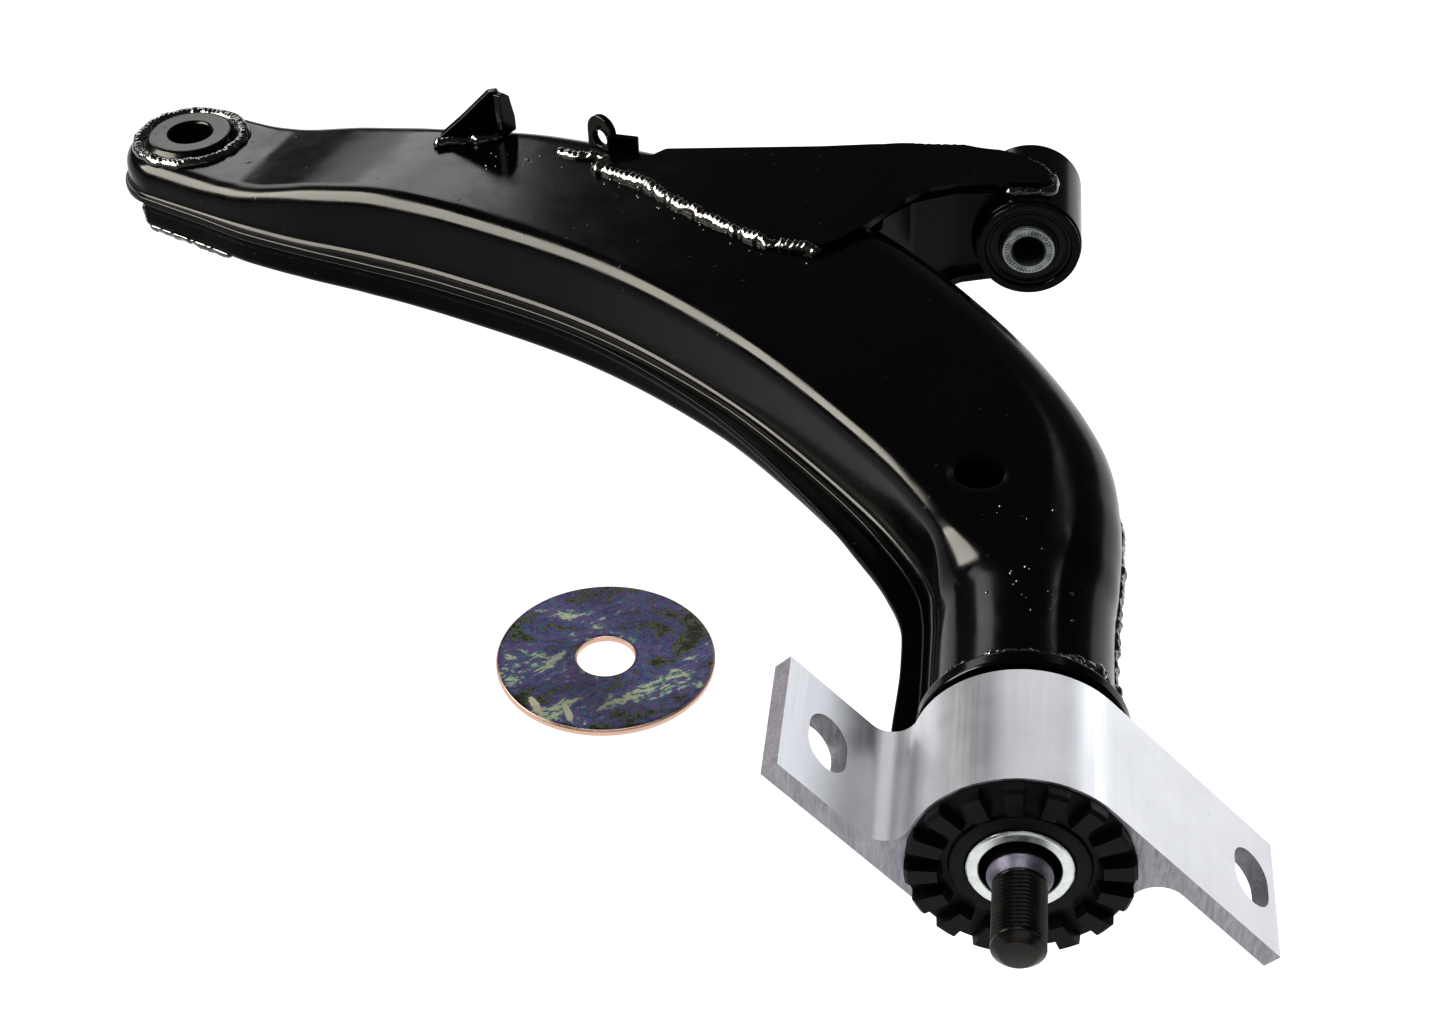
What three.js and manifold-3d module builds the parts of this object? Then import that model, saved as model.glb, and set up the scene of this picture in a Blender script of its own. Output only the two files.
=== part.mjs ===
// Front lower control arm: two pressed shells joined by a seam, a ball-joint boss at the outer end,
// a welded front arm with its bush tube, a threaded rear stud, and a cast-in rear bush in an
// extruded two-eared bracket. A loose stopper washer lies beside it.
// Millimetres, +Z up, +Y from the rear bush towards the front bush.
import * as THREE from 'three';
import { mergeVertices } from 'three/addons/utils/BufferGeometryUtils.js';
import Module from 'manifold-3d';

const wasm = await Module();
wasm.setup();
const { PI, cos, sin, sqrt, max, min, hypot } = Math;
const rad = THREE.MathUtils.degToRad;

// ---- driving dimensions ----
const gap = 0.3; // clearance wherever two pieces touch
const restTilt = rad(2.4); // the arm leans about the rear axis until its boss stands on the floor
const sheet = 3; // thickness of the pressed shells
const seamZ = -4; // level of the joint between the two shells
const lipThick = 2.6; // thickness of the upper shell's outward lip

const bossX = -353.4;
const bossY = 385.4;
const bossR = 19.5;
const bossFaceR = 17.4;
const bossHoleR = 8.8;
const bossTop = 15.5;
const bossBottom = -18.4;
const endR = 28.5; // rounded end of the shells about the boss
const endTop = 12.5;
const endWeldLength = 3.6;

const tubeX = -1.7; // front bush axis, parallel to Y
const tubeNear = 334.5;
const tubeFar = 378;
const tubeR = 20.75;
const frontShellR = 19;
const frontSleeveR = 10.3;
const frontBoreR = 6.15;

const ringR = 34; // rear bracket ring
const ringBoreR = 30.4;
const bracketDepth = 45.8;
const earAngle = rad(45.2);
const rearSleeveR = 15.75;
const rearSleeveBoreR = 10.05;
const shoulderR = 9.7;
const threadR = 8;
const studTip = -35;
const discNear = 50.3;
const discFar = 56;
const discR = 33;
const toothCount = 16;
const toothPhase = 0.66; // of a pitch, from straight up
const snubberR = 33.2;
const sleeveRecessR = 11.8;
const sleeveRecessEnd = 8;

const plateTop = 31; // front arm's top plate where it laps the shell
const plateThick = 2.7;
const saddleTop = 24.2; // the same plate over the bush tube

const washerX = -137.7;
const washerY = 112;
const washerR = 36.8;
const washerHoleR = 9.75;
const washerThick = 2.4;
const floorZ = -34.5; // what the washer lies on, level with the lower ear's corner and the boss

// Stations along the arm, from the neck at the stud to the boss. left and right are the two side walls
// in plan. The measures are top, the upper skin; edge and roll, the radii of its left and right edges;
// lip, the overhang at the seam; flare, how far the lower rim stands past the lip; base and heel, the
// lower pan's floor level and corner radius.
const measures = ['top', 'edge', 'roll', 'lip', 'flare', 'base', 'heel'];
const stations = [
  { left: [-28, 57], right: [28, 57], sizes: [28, 28, 28, 4.5, 8, -26, 14] },
  { left: [-28, 84], right: [28, 84], sizes: [28, 28, 28, 4.5, 6.5, -26, 14] },
  { left: [-28.2, 106], right: [28.6, 104], sizes: [28, 26, 27, 5, 6.5, -25, 13] },
  { left: [-30, 121], right: [30, 120], sizes: [28, 9, 25, 6, 9, -24, 12] },
  { left: [-42, 145], right: [31, 148], sizes: [28, 8, 24, 6, 9.5, -22, 10] },
  { left: [-60, 170.7], right: [26.5, 184], sizes: [28, 8, 24, 5, 8, -20, 8] },
  { left: [-106.1, 223.8], right: [-6.5, 252.5], sizes: [28, 8, 24, 4.5, 4, -18.5, 6] },
  { left: [-162.7, 270.5], right: [-78, 333], sizes: [28, 8, 22, 5.5, 0.5, -19, 5] },
  { left: [-226.8, 304.1], right: [-185, 376], sizes: [28, 8, 18, 5.5, 0.5, -19, 5] },
  { left: [-261.4, 317.6], right: [-240, 381.5], sizes: [27.2, 8, 14, 6, 0, -18, 5] },
  { left: [-294.9, 328], right: [-277, 388.5], sizes: [21.5, 8, 10, 4.5, 0, -18, 5] },
  { left: [-320, 338], right: [-303, 396], sizes: [14.5, 8, 8, 4.5, 0, -17.8, 5] },
  { left: [-340, 347.5], right: [-320, 402], sizes: [12.5, 8, 8, 3.2, 0, -17.4, 5] },
  { left: [-368.2, 361.2], right: [-338.6, 409.6], sizes: [12.5, 8, 8, 2.4, 0, -17, 5] },
];
const stationSteps = 3; // loft steps between neighbouring stations

// ---- solids and booleans ----
function signedVolume(geometry) {
  const p = geometry.attributes.position;
  const index = geometry.index;
  const a = new THREE.Vector3();
  const b = new THREE.Vector3();
  const c = new THREE.Vector3();
  let volume = 0;
  for (let i = 0; i < index.count; i += 3) {
    a.fromBufferAttribute(p, index.getX(i));
    b.fromBufferAttribute(p, index.getX(i + 1));
    c.fromBufferAttribute(p, index.getX(i + 2));
    volume += a.dot(b.cross(c)) / 6;
  }
  return volume;
}

// Merges shared corners, drops flat triangles, and turns the faces outwards.
function closed(geometry) {
  const bare = geometry.clone();
  bare.deleteAttribute('normal');
  bare.deleteAttribute('uv');
  const merged = mergeVertices(bare, 1e-4);
  const source = merged.index.array;
  const kept = [];
  for (let i = 0; i < source.length; i += 3) {
    const [a, b, c] = [source[i], source[i + 1], source[i + 2]];
    if (a !== b && b !== c && c !== a) kept.push(a, b, c);
  }
  merged.setIndex(kept);
  if (signedVolume(merged) < 0) {
    for (let i = 0; i < kept.length; i += 3) [kept[i + 1], kept[i + 2]] = [kept[i + 2], kept[i + 1]];
    merged.setIndex(kept);
  }
  return merged;
}

function solid(geometry) {
  const shape = closed(geometry);
  const mesh = new wasm.Mesh({
    numProp: 3,
    vertProperties: new Float32Array(shape.attributes.position.array),
    triVerts: new Uint32Array(shape.index.array),
  });
  return new wasm.Manifold(mesh);
}

function surface(manifold) {
  const mesh = manifold.getMesh();
  const geometry = new THREE.BufferGeometry();
  geometry.setAttribute('position', new THREE.BufferAttribute(new Float32Array(mesh.vertProperties), 3));
  geometry.setIndex(new THREE.BufferAttribute(new Uint32Array(mesh.triVerts), 1));
  return geometry;
}

const union = (...parts) => parts.reduce((sum, part) => sum.add(part));
const cut = (body, ...tools) => tools.reduce((rest, tool) => rest.subtract(tool), body);

// ---- shape builders ----
// Skins equal-length closed rings of points into a solid with flat ends.
function loft(rings) {
  const size = rings[0].length;
  const positions = rings.flat().flatMap((p) => [p.x, p.y, p.z]);
  const index = [];
  for (let r = 0; r < rings.length - 1; r += 1) {
    for (let i = 0; i < size; i += 1) {
      const j = (i + 1) % size;
      const [a, b] = [r * size + i, r * size + j];
      index.push(a, b, b + size, a, b + size, a + size);
    }
  }
  for (const r of [0, rings.length - 1]) {
    const ring = rings[r];
    const across = new THREE.Vector3().subVectors(ring[Math.floor(size / 2)], ring[0]).normalize();
    const normal = new THREE.Vector3();
    for (let i = 0; i < size; i += 1) {
      normal.add(new THREE.Vector3().crossVectors(ring[i], ring[(i + 1) % size]));
    }
    normal.normalize();
    across.addScaledVector(normal, -across.dot(normal)).normalize();
    const up = new THREE.Vector3().crossVectors(normal, across);
    const flat = ring.map((p) => new THREE.Vector2(p.dot(across), p.dot(up)));
    const faces = THREE.ShapeUtils.triangulateShape(flat, []);
    for (const [a, b, c] of faces) {
      const tri = [a + r * size, b + r * size, c + r * size];
      index.push(...(r === 0 ? [tri[0], tri[2], tri[1]] : tri));
    }
  }
  const geometry = new THREE.BufferGeometry();
  geometry.setAttribute('position', new THREE.Float32BufferAttribute(positions, 3));
  geometry.setIndex(index);
  return geometry;
}

// Points on an arc, in degrees, ends included.
function arc(cx, cy, radius, from, to, steps) {
  const points = [];
  for (let i = 0; i <= steps; i += 1) {
    const angle = rad(from + ((to - from) * i) / steps);
    points.push([cx + radius * cos(angle), cy + radius * sin(angle)]);
  }
  return points;
}

// Turns a closed [radius, height] profile about Y.
function turned(profile, segments = 28) {
  const points = profile.map(([r, y]) => new THREE.Vector2(r, y));
  const onAxis = profile[0][0] === 0 && profile.at(-1)[0] === 0;
  if (!onAxis) points.push(points[0].clone());
  return new THREE.LatheGeometry(points, segments);
}

const alongZ = (geometry, x, y) => geometry.clone().rotateX(PI / 2).translate(x, y, 0);
const ring = (inner, outer, y0, y1) => [[inner, y0], [outer, y0], [outer, y1], [inner, y1]];
const rod = (radius, y0, y1) => [[0, y0], [radius, y0], [radius, y1], [0, y1]];

function outline(points) {
  return new THREE.Shape(points.map(([x, y]) => new THREE.Vector2(x, y)));
}

// A flat plan outline given thickness from z0 up to z1.
function slab(points, z0, z1) {
  const options = { depth: z1 - z0, bevelEnabled: false };
  return new THREE.ExtrudeGeometry(outline(points), options).translate(0, 0, z0);
}

// A side profile in X and Z, carried along Y from y0 to y1.
function sideways(points, y0, y1) {
  const options = { depth: y1 - y0, bevelEnabled: false };
  return new THREE.ExtrudeGeometry(outline(points), options).rotateX(PI / 2).translate(0, y1, 0);
}

// The two sides of a path, each moved off it to its left (positive) or right.
function ribbon(path, offsetA, offsetB) {
  const side = (offset) => path.map(([x, y], i) => {
    const [x0, y0] = path[max(i - 1, 0)];
    const [x1, y1] = path[min(i + 1, path.length - 1)];
    const length = hypot(x1 - x0, y1 - y0);
    return [x - ((y1 - y0) / length) * offset, y + ((x1 - x0) / length) * offset];
  });
  return [...side(offsetA), ...side(offsetB).reverse()];
}

// ---- the arm's two pressed shells ----
const leftCurve = new THREE.CatmullRomCurve3(stations.map((s) => new THREE.Vector3(...s.left, 0)));
const rightCurve = new THREE.CatmullRomCurve3(stations.map((s) => new THREE.Vector3(...s.right, 0)));

function stationAt(t) {
  const place = t * (stations.length - 1);
  const low = min(Math.floor(place), stations.length - 2);
  const part = place - low;
  const at = {};
  measures.forEach((key, i) => {
    at[key] = THREE.MathUtils.lerp(stations[low].sizes[i], stations[low + 1].sizes[i], part);
  });
  at.left = leftCurve.getPoint(t);
  at.across = new THREE.Vector3().subVectors(rightCurve.getPoint(t), at.left);
  at.width = at.across.length();
  at.across.normalize();
  return at;
}

// Sections are [distance from the left wall, height] loops; grow moves every face outwards.
function upperOuter({ width, top, edge, roll, lip }) {
  const fillet = 3;
  const rim = seamZ + lipThick;
  return [
    [-lip, seamZ],
    [-lip, rim - 0.8],
    [-lip + 0.8 * min(1, lip), rim],
    ...arc(-min(fillet, lip * 0.6), rim + fillet, min(fillet, lip * 0.6), -90, 0, 2),
    ...arc(edge, top - edge, edge, 180, 90, 5),
    ...arc(width - roll, top - roll, roll, 90, 0, 5),
    [width, seamZ],
  ];
}

function upperInner({ width, top, edge, roll }) {
  const below = seamZ - 8;
  return [
    [sheet, below],
    ...arc(edge, top - edge, edge - sheet, 180, 90, 5),
    ...arc(width - roll, top - roll, roll - sheet, 90, 0, 5),
    [width - sheet, below],
  ];
}

function lowerOuter({ width, lip, flare, base, heel }) {
  const rim = seamZ - gap;
  const wall = -lip - flare * 0.35;
  return [
    [-lip - flare, rim],
    [-lip - flare, rim - sheet],
    [wall, rim - sheet - flare * 0.5 - 0.2],
    ...arc(wall + heel, base + heel, heel, 180, 270, 4),
    ...arc(width - heel - 2, base + heel + 2, heel + 2, 270, 360, 4),
    [width, rim],
  ];
}

function lowerInner({ width, lip, flare, base, heel }) {
  const above = seamZ + 6;
  const wall = -lip - flare * 0.35;
  const inner = heel - sheet;
  return [
    [wall + sheet, above],
    ...arc(wall + heel, base + heel, inner, 180, 270, 4),
    ...arc(width - heel - 2, base + heel + 2, inner + 2, 270, 360, 4),
    [width - sheet, above],
  ];
}

// The whole arm's outside, grown by a clearance, to trim what is welded to it.
function envelopeSection(grow) {
  return ({ width, top, edge, roll, base, heel }) => [
    ...arc(edge, top - edge, edge + grow, 180, 90, 5),
    ...arc(width - roll, top - roll, roll + grow, 90, 0, 5),
    ...arc(width - heel - 2, base + heel + 2, heel + 2 + grow, 360, 270, 4),
    ...arc(heel, base + heel, heel + grow, 270, 180, 4),
  ];
}

function armLoft(section) {
  const steps = (stations.length - 1) * stationSteps;
  const rings = [];
  for (let i = 0; i <= steps; i += 1) {
    const at = stationAt(i / steps);
    rings.push(section(at).map(([a, z]) => {
      return new THREE.Vector3().copy(at.left).addScaledVector(at.across, a).setZ(z);
    }));
  }
  return loft(rings);
}

function bossHole(grow = gap) {
  return solid(alongZ(turned(rod(bossR + grow, -40, 40)), bossX, bossY));
}

// Rounded end of the upper shell, turned about the boss.
function endCap(inset, bottom) {
  const edge = 8 - inset;
  const shoulder = endR - 8;
  const profile = [
    [0, endTop - inset],
    ...arc(shoulder, endTop - 8, edge, 90, 0, 5),
    [endR - inset, bottom],
    [0, bottom],
  ];
  return solid(turned(profile, 40).rotateX(PI / 2).translate(bossX, bossY, 0));
}

const topHole = { x: -16.5, y: 149.2, radius: 8.4 };

function upperShell() {
  const outer = union(solid(armLoft(upperOuter)), endCap(0, seamZ));
  const inner = union(solid(armLoft(upperInner)), endCap(sheet, seamZ - 8));
  const drain = solid(alongZ(turned(rod(topHole.radius, -40, 40), 24), topHole.x, topHole.y));
  const high = solid(slab([[-60, 100], [40, 100], [40, 200], [-60, 200]], 0, 40));
  const mouth = solid(slab([[-27.9, 40], [27.9, 40], [27.9, 57.5], [-27.9, 57.5]], -40, 27.4));
  return surface(cut(outer, inner, bossHole(), drain.intersect(high), mouth.intersect(inner)));
}

function lowerShell() {
  const outer = solid(armLoft(lowerOuter));
  const inner = solid(armLoft(lowerInner));
  return surface(cut(outer, inner, bossHole()));
}

// ---- boss and its welds ----
function boss() {
  const chamfer = bossR - bossFaceR;
  const profile = [
    [bossHoleR, bossTop],
    [bossFaceR, bossTop],
    [bossR, bossTop - chamfer * 0.8],
    [bossR, bossBottom + 1],
    [bossR - 1, bossBottom],
    [bossHoleR - 0.8, bossBottom],
  ];
  return alongZ(turned(profile, 32), bossX, bossY);
}

// A ring-shaped bead with a flat-sided round crown, standing between two radii.
function bossWeld() {
  const profile = [
    [bossR + gap, endTop + gap],
    [bossR + 4.6, endTop + gap],
    [bossR + 3.2, endTop + 2],
    [bossR + gap, endTop + 2.6],
  ];
  return alongZ(turned(profile, 32), bossX, bossY);
}

// The lower pan ends at the boss; a bead runs down its cut edge on the left and turns under it.
function lowerEndWeld() {
  const end = stationAt(1);
  const onward = new THREE.Vector3(-end.across.y, end.across.x, 0);
  const rim = seamZ - gap;
  const [centre, level] = [end.heel - end.lip, end.base + end.heel];
  const section = [
    [-end.lip, rim],
    ...arc(centre, level, end.heel, 180, 270, 4),
    ...arc(centre, level, end.heel - sheet, 270, 180, 4),
    [sheet - end.lip, rim],
  ];
  return loft([gap, endWeldLength].map((offset) => section.map(([a, z]) => (
    new THREE.Vector3().copy(end.left).addScaledVector(end.across, a).addScaledVector(onward, offset).setZ(z)
  ))));
}

// ---- front arm ----
const plateOutline = [
  [-174, 341], [-162.5, 337], [-149, 328], [-131, 311], [-111, 295.5], [-98, 287.5], [-86, 285],
  [-78, 282.5], [-73, 286.5], [-61.5, 299.5], [-49.5, 318.5], [-40, 330], [-29, 338], [-18, 341.5],
  [4, 341.8], [6.2, 344.5], [5.2, 351], [1.5, 357], [-6, 363.5], [-14, 367.2], [-28, 368.5],
  [-43.5, 363], [-60, 358.5], [-85, 355.6], [-146, 351.6], [-151, 346.2], [-158, 345.6], [-166, 346.4],
];

// Underside of the top plate: flat on the shell, then stepping down to the bush tube.
function plateUnder(clear) {
  const low = saddleTop - plateThick - clear;
  const high = plateTop - plateThick - clear;
  return [[-200, high], [-62, high], [-52, high - 0.6], [-24, low + 0.5], [-16, low], [30, low]];
}

function frontArmPlate() {
  const under = plateUnder(0);
  const over = [...under].reverse().map(([x, z]) => [x, z + plateThick]);
  const sheetPart = solid(sideways([...under, ...over], 270, 380));
  const plan = solid(slab(plateOutline, 0, 60));
  return surface(sheetPart.intersect(plan));
}

// Folded channel under the plate: a near web with a bend in it, a far web, and a floor between them.
function frontArmChannel() {
  const near = [[-70, 290], [-60, 302], [-46.5, 321], [-30, 334.5], [-14, 339]];
  const far = [[-14, 364], [-28, 365.4], [-44, 360], [-60, 355.5], [-110, 352.5]];
  const inside = ribbon(near, sheet, sheet).slice(0, near.length);
  const insideFar = ribbon(far, sheet, sheet).slice(0, far.length);
  const foot = ribbon(near, -4.5, -4.5).slice(0, near.length);
  const walls = cut(
    solid(slab([...near, ...far, [-110, 290]], -12, 30)),
    solid(slab([...inside, ...insideFar, [-107, 293]], -9, 40)),
  );
  const ledge = solid(slab([...foot, ...far, [-110, 290]], -15, -12 + 0.01));
  const over = solid(sideways([...plateUnder(gap), [30, 60], [-200, 60]], 270, 390));
  const tube = solid(turned(rod(tubeR + gap, 300, 400), 32).translate(tubeX, 0, 0));
  const arm = solid(armLoft(envelopeSection(gap * 1.5)));
  const body = cut(union(walls, ledge), over, tube, arm);
  const pieces = body.decompose();
  pieces.sort((a, b) => b.volume() - a.volume());
  return surface(pieces[0]);
}

function frontTube() {
  return turned(ring(frontShellR + gap, tubeR, tubeNear, tubeFar), 32).translate(tubeX, 0, 0);
}

// Outer sleeve pressed in the tube, with a small lip standing out at the near end.
function frontBushShell() {
  const near = tubeNear - 2.5;
  const profile = [
    [frontShellR - 2, near],
    [frontShellR + 1.2, near],
    [frontShellR + 1.2, tubeNear - gap],
    [frontShellR, tubeNear - gap],
    [frontShellR, tubeFar + 2],
    [frontShellR - 2, tubeFar + 2],
  ];
  return turned(profile, 32).translate(tubeX, 0, 0);
}

function frontBushRubber() {
  const near = tubeNear - 2;
  const far = tubeFar + 1.5;
  const outer = frontShellR - 2 - gap;
  const inner = frontSleeveR + gap;
  const profile = [
    [inner, near + 0.6],
    [inner + 2, near + 1.4],
    [outer - 2, near + 1.4],
    [outer, near + 0.6],
    [outer, far - 0.6],
    [outer - 2, far - 1.4],
    [inner + 2, far - 1.4],
    [inner, far - 0.6],
  ];
  return turned(profile, 32).translate(tubeX, 0, 0);
}

function frontSleeve() {
  return turned(ring(frontBoreR, frontSleeveR, tubeNear - 4, tubeFar + 4), 40).translate(tubeX, 0, 0);
}

// ---- stabiliser link lugs, on the far edge of the upper shell ----
function upright(points, thickness) {
  return new THREE.ExtrudeGeometry(outline(points), { depth: thickness, bevelEnabled: false }).rotateX(PI / 2);
}

function outerLug() {
  const foot = 28 + gap;
  const face = [[0, foot], [25, foot], [26, 45], [24.5, 47.6], [21, 47.6], [9, 37], [2, 31.5], [0, 30]];
  const wing = [[0, foot], [8.5, foot], [8.5, 34], [6, 44.5], [3, 47], [0, 47]];
  const front = solid(upright(face, 3.2).translate(0, 3.2, 0).rotateZ(rad(14)).translate(-239, 359.6, 0));
  const back = solid(upright(wing, 3.2).rotateZ(rad(62)).translate(-214.6, 365.2, 0));
  return surface(union(front, back));
}

function innerLug() {
  const foot = 28 + gap;
  const ear = [[0, foot], [14, foot], ...arc(7, 35.8, 6.9, 0, 180, 8), [0, 35.6]];
  const eye = arc(7, 33, 3.5, 0, 330, 11);
  const flange = [[0, foot], [12.4, foot], [12.4, 35.6], [0, 37]];
  const bolt = solid(upright(eye, 30).translate(0, 15, 0));
  const blade = cut(solid(upright(ear, 3)), bolt).rotate([0, 0, 145]).translate([-167.2, 351, 0]);
  const wing = solid(upright(flange, 3).translate(-169.2, 353, 0));
  return surface(union(blade, wing));
}

// ---- weld beads: ribbons along the seam lines ----
function bead(path, inner, outer, z0, z1) {
  return solid(slab(ribbon(path, inner, outer), z0, z1));
}

function gussetWeld() {
  const path = plateOutline.slice(0, 8);
  return surface(bead(path, -gap, -4, 28 + gap, 28 + gap + 2));
}

function seamWeld() {
  const path = [];
  for (let i = 2; i <= 20; i += 1) {
    const at = stationAt(i * 0.0245);
    path.push([at.left.x + at.across.x * at.width, at.left.y + at.across.y * at.width]);
  }
  const arm = solid(armLoft(envelopeSection(gap * 1.5)));
  return surface(cut(bead(path, 2, -3, -8, -1), arm));
}

// A part ring round the neck, against the stopper disc.
function neckWeld() {
  const band = solid(turned(ring(28 + gap, 30.8, discFar + gap, discFar + 5), 32));
  const keep = solid(slab([[-26, 40], [60, 40], [60, 80], [-26, 80]], 1, 60));
  return surface(band.intersect(keep));
}

function tubeWeld() {
  const path = [[-12, 341.4], [4, 341.4], [6.6, 344.4], [5.6, 351], [2, 357], [-5, 363.5]];
  const tube = solid(turned(rod(tubeR + gap, 300, 400), 32).translate(tubeX, 0, 0));
  return surface(cut(bead(path, -gap, -2.6, 15, 22.4), tube));
}

function lugWeld(path, width) {
  return surface(bead(path, -gap, -width, 28 + gap, 28 + gap + 2));
}

// ---- rear stud ----
function rearStud() {
  const profile = [
    [0, studTip],
    [threadR - 1.6, studTip],
    [threadR, studTip + 1.8],
    [threadR, -9],
    [shoulderR, -5.4],
    [shoulderR, 96],
    [shoulderR - 1, 97],
    [0, 97],
  ];
  return turned(profile, 32);
}

const stopperDisc = () => turned([
  [shoulderR + gap, discNear], [discR - 1, discNear], [discR, discNear + 1], [discR, discFar - 1],
  [discR - 1, discFar], [shoulderR + gap, discFar],
], 40);

const studCarrier = () => turned(ring(shoulderR + gap, 22, discFar + gap, 92), 40);

const rearSleeve = () => turned([
  [sleeveRecessR, -2.8], [sleeveRecessR + 0.4, -3.2], [rearSleeveR - 0.5, -3.2], [rearSleeveR, -2.7],
  [rearSleeveR, discNear - gap], [rearSleeveBoreR, discNear - gap], [rearSleeveBoreR, sleeveRecessEnd + 1],
  [sleeveRecessR, sleeveRecessEnd],
], 32);

// ---- rear bracket, drawn along its ears (first axis) and square to them (second axis) ----
const leftEar = { low: -33.8, high: -27.2, tip: -72.8, fillet: 8 };
const rightEar = { low: 28, high: 34, tip: 76.5, fillet: 9 };
const earHole = { along: 16, across: 20.5, depthAt: 23.6, left: -54.4, right: 65 };

function bracket() {
  const leftCentre = leftEar.high + leftEar.fillet;
  const leftU = -sqrt((ringR + leftEar.fillet) ** 2 - leftCentre ** 2);
  const rightCentre = rightEar.low - rightEar.fillet;
  const rightU = sqrt((ringR + rightEar.fillet) ** 2 - rightCentre ** 2);
  const leftTurn = THREE.MathUtils.radToDeg(Math.atan2(leftCentre, leftU));
  const rightTurn = THREE.MathUtils.radToDeg(Math.atan2(rightCentre, rightU));
  const lowContact = THREE.MathUtils.radToDeg(Math.asin(leftEar.low / ringR));
  const profile = [
    [leftEar.tip, leftEar.low],
    ...arc(0, 0, ringR, -180 - lowContact, rightTurn, 18),
    ...arc(rightU, rightCentre, rightEar.fillet, rightTurn + 180, 90, 5),
    [rightEar.tip, rightEar.low],
    [rightEar.tip, rightEar.high],
    ...arc(0, 0, ringR, 90, 360 + leftTurn, 12),
    ...arc(leftU, leftCentre, leftEar.fillet, leftTurn + 180, -90, 5),
    [leftEar.tip, leftEar.high],
  ];
  const options = { depth: bracketDepth, bevelEnabled: false };
  const lay = (geometry) => geometry.rotateX(PI / 2).translate(0, bracketDepth, 0);
  const body = solid(lay(new THREE.ExtrudeGeometry(outline(profile), options)));
  const bore = solid(turned(rod(ringBoreR, -10, bracketDepth + 10), 40));
  const straight = (earHole.across - earHole.along) / 2;
  const slot = [
    ...arc(0, straight, earHole.along / 2, 0, 180, 8),
    ...arc(0, -straight, earHole.along / 2, 180, 360, 8),
  ];
  const holes = [[earHole.left, -50], [earHole.right, 20]].map(([u, z]) => (
    solid(slab(slot, z, z + 30).translate(u, earHole.depthAt, 0))
  ));
  return surface(cut(body, bore, ...holes).rotate([0, THREE.MathUtils.radToDeg(earAngle), 0]));
}

const rearBushShell = () => turned(ring(28.6, ringBoreR - gap, 1, bracketDepth - 1), 40);
const rearBushRubber = () => turned(ring(rearSleeveR + 0.35, 28.6 - gap, 1.8, bracketDepth - 1.4), 32);

// Snubber: a flat rubber ring with radial blocks standing out of it towards the stud's tip.
function toothedSnubber() {
  const base = solid(turned([
    [rearSleeveR + 0.35, -2.2], [20.4, -2.2], [21, -1], [snubberR, -1], [snubberR, -gap], [28.2, -gap],
    [28.2, 1.4], [rearSleeveR + 0.35, 1.4],
  ], 64));
  const half = 2.9;
  const side = [[22.6, -0.5], [23.8, -5], [32.4, -5], [33.4, -4], [33.4, -gap], [22.6, -gap]];
  const block = loft([-half, half].map((across) => (
    side.map(([r, y]) => new THREE.Vector3(across * (r / 28), y, r))
  )));
  let body = base;
  for (let i = 0; i < toothCount; i += 1) {
    body = body.add(solid(block.clone().rotateY((2 * PI * (i + toothPhase)) / toothCount)));
  }
  return surface(body);
}

const rearFlange = () => turned([
  [rearSleeveR + 0.35, bracketDepth + gap], [30, bracketDepth + gap], [31.5, bracketDepth + 1.6],
  [30.5, discNear - gap], [rearSleeveR + 0.35, discNear - gap],
], 32);

// ---- washer, lying flat ----
function washer() {
  const profile = [
    [washerHoleR + 0.4, 0], [washerR - 0.5, 0], [washerR, 0.5], [washerR, washerThick - 0.5],
    [washerR - 0.5, washerThick], [washerHoleR + 0.4, washerThick], [washerHoleR, washerThick - 0.4],
    [washerHoleR, 0.4],
  ];
  return turned(profile, 40).rotateX(PI / 2).translate(washerX, washerY, floorZ);
}

// ---- assembly ----
const finish = (color, roughness, metalness) => (
  new THREE.MeshStandardMaterial({ color, roughness, metalness, side: THREE.DoubleSide })
);
const blackPaint = finish(0x0c0c0d, 0.18, 0);
const weldPaint = finish(0x121213, 0.22, 0);
const blackRubber = finish(0x17171a, 0.7, 0);
const paleAlloy = finish(0xd4d6da, 0.38, 0.9);
const zinc = finish(0xb9bdb8, 0.3, 1);
const darkSteel = finish(0x241f1b, 0.35, 0.8);
const yellowZinc = finish(0x5a4f66, 0.3, 0.9);

function piece(name, geometry, material) {
  const tidy = closed(geometry);
  tidy.computeVertexNormals();
  const mesh = new THREE.Mesh(tidy, material);
  mesh.name = name;
  return mesh;
}

const lugPaths = {
  outer: [[-242, 357.6], [-228, 360.6], [-214.5, 364]],
  inner: [[-187, 352], [-182, 350.5], [-176.5, 350.2]],
};

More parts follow.
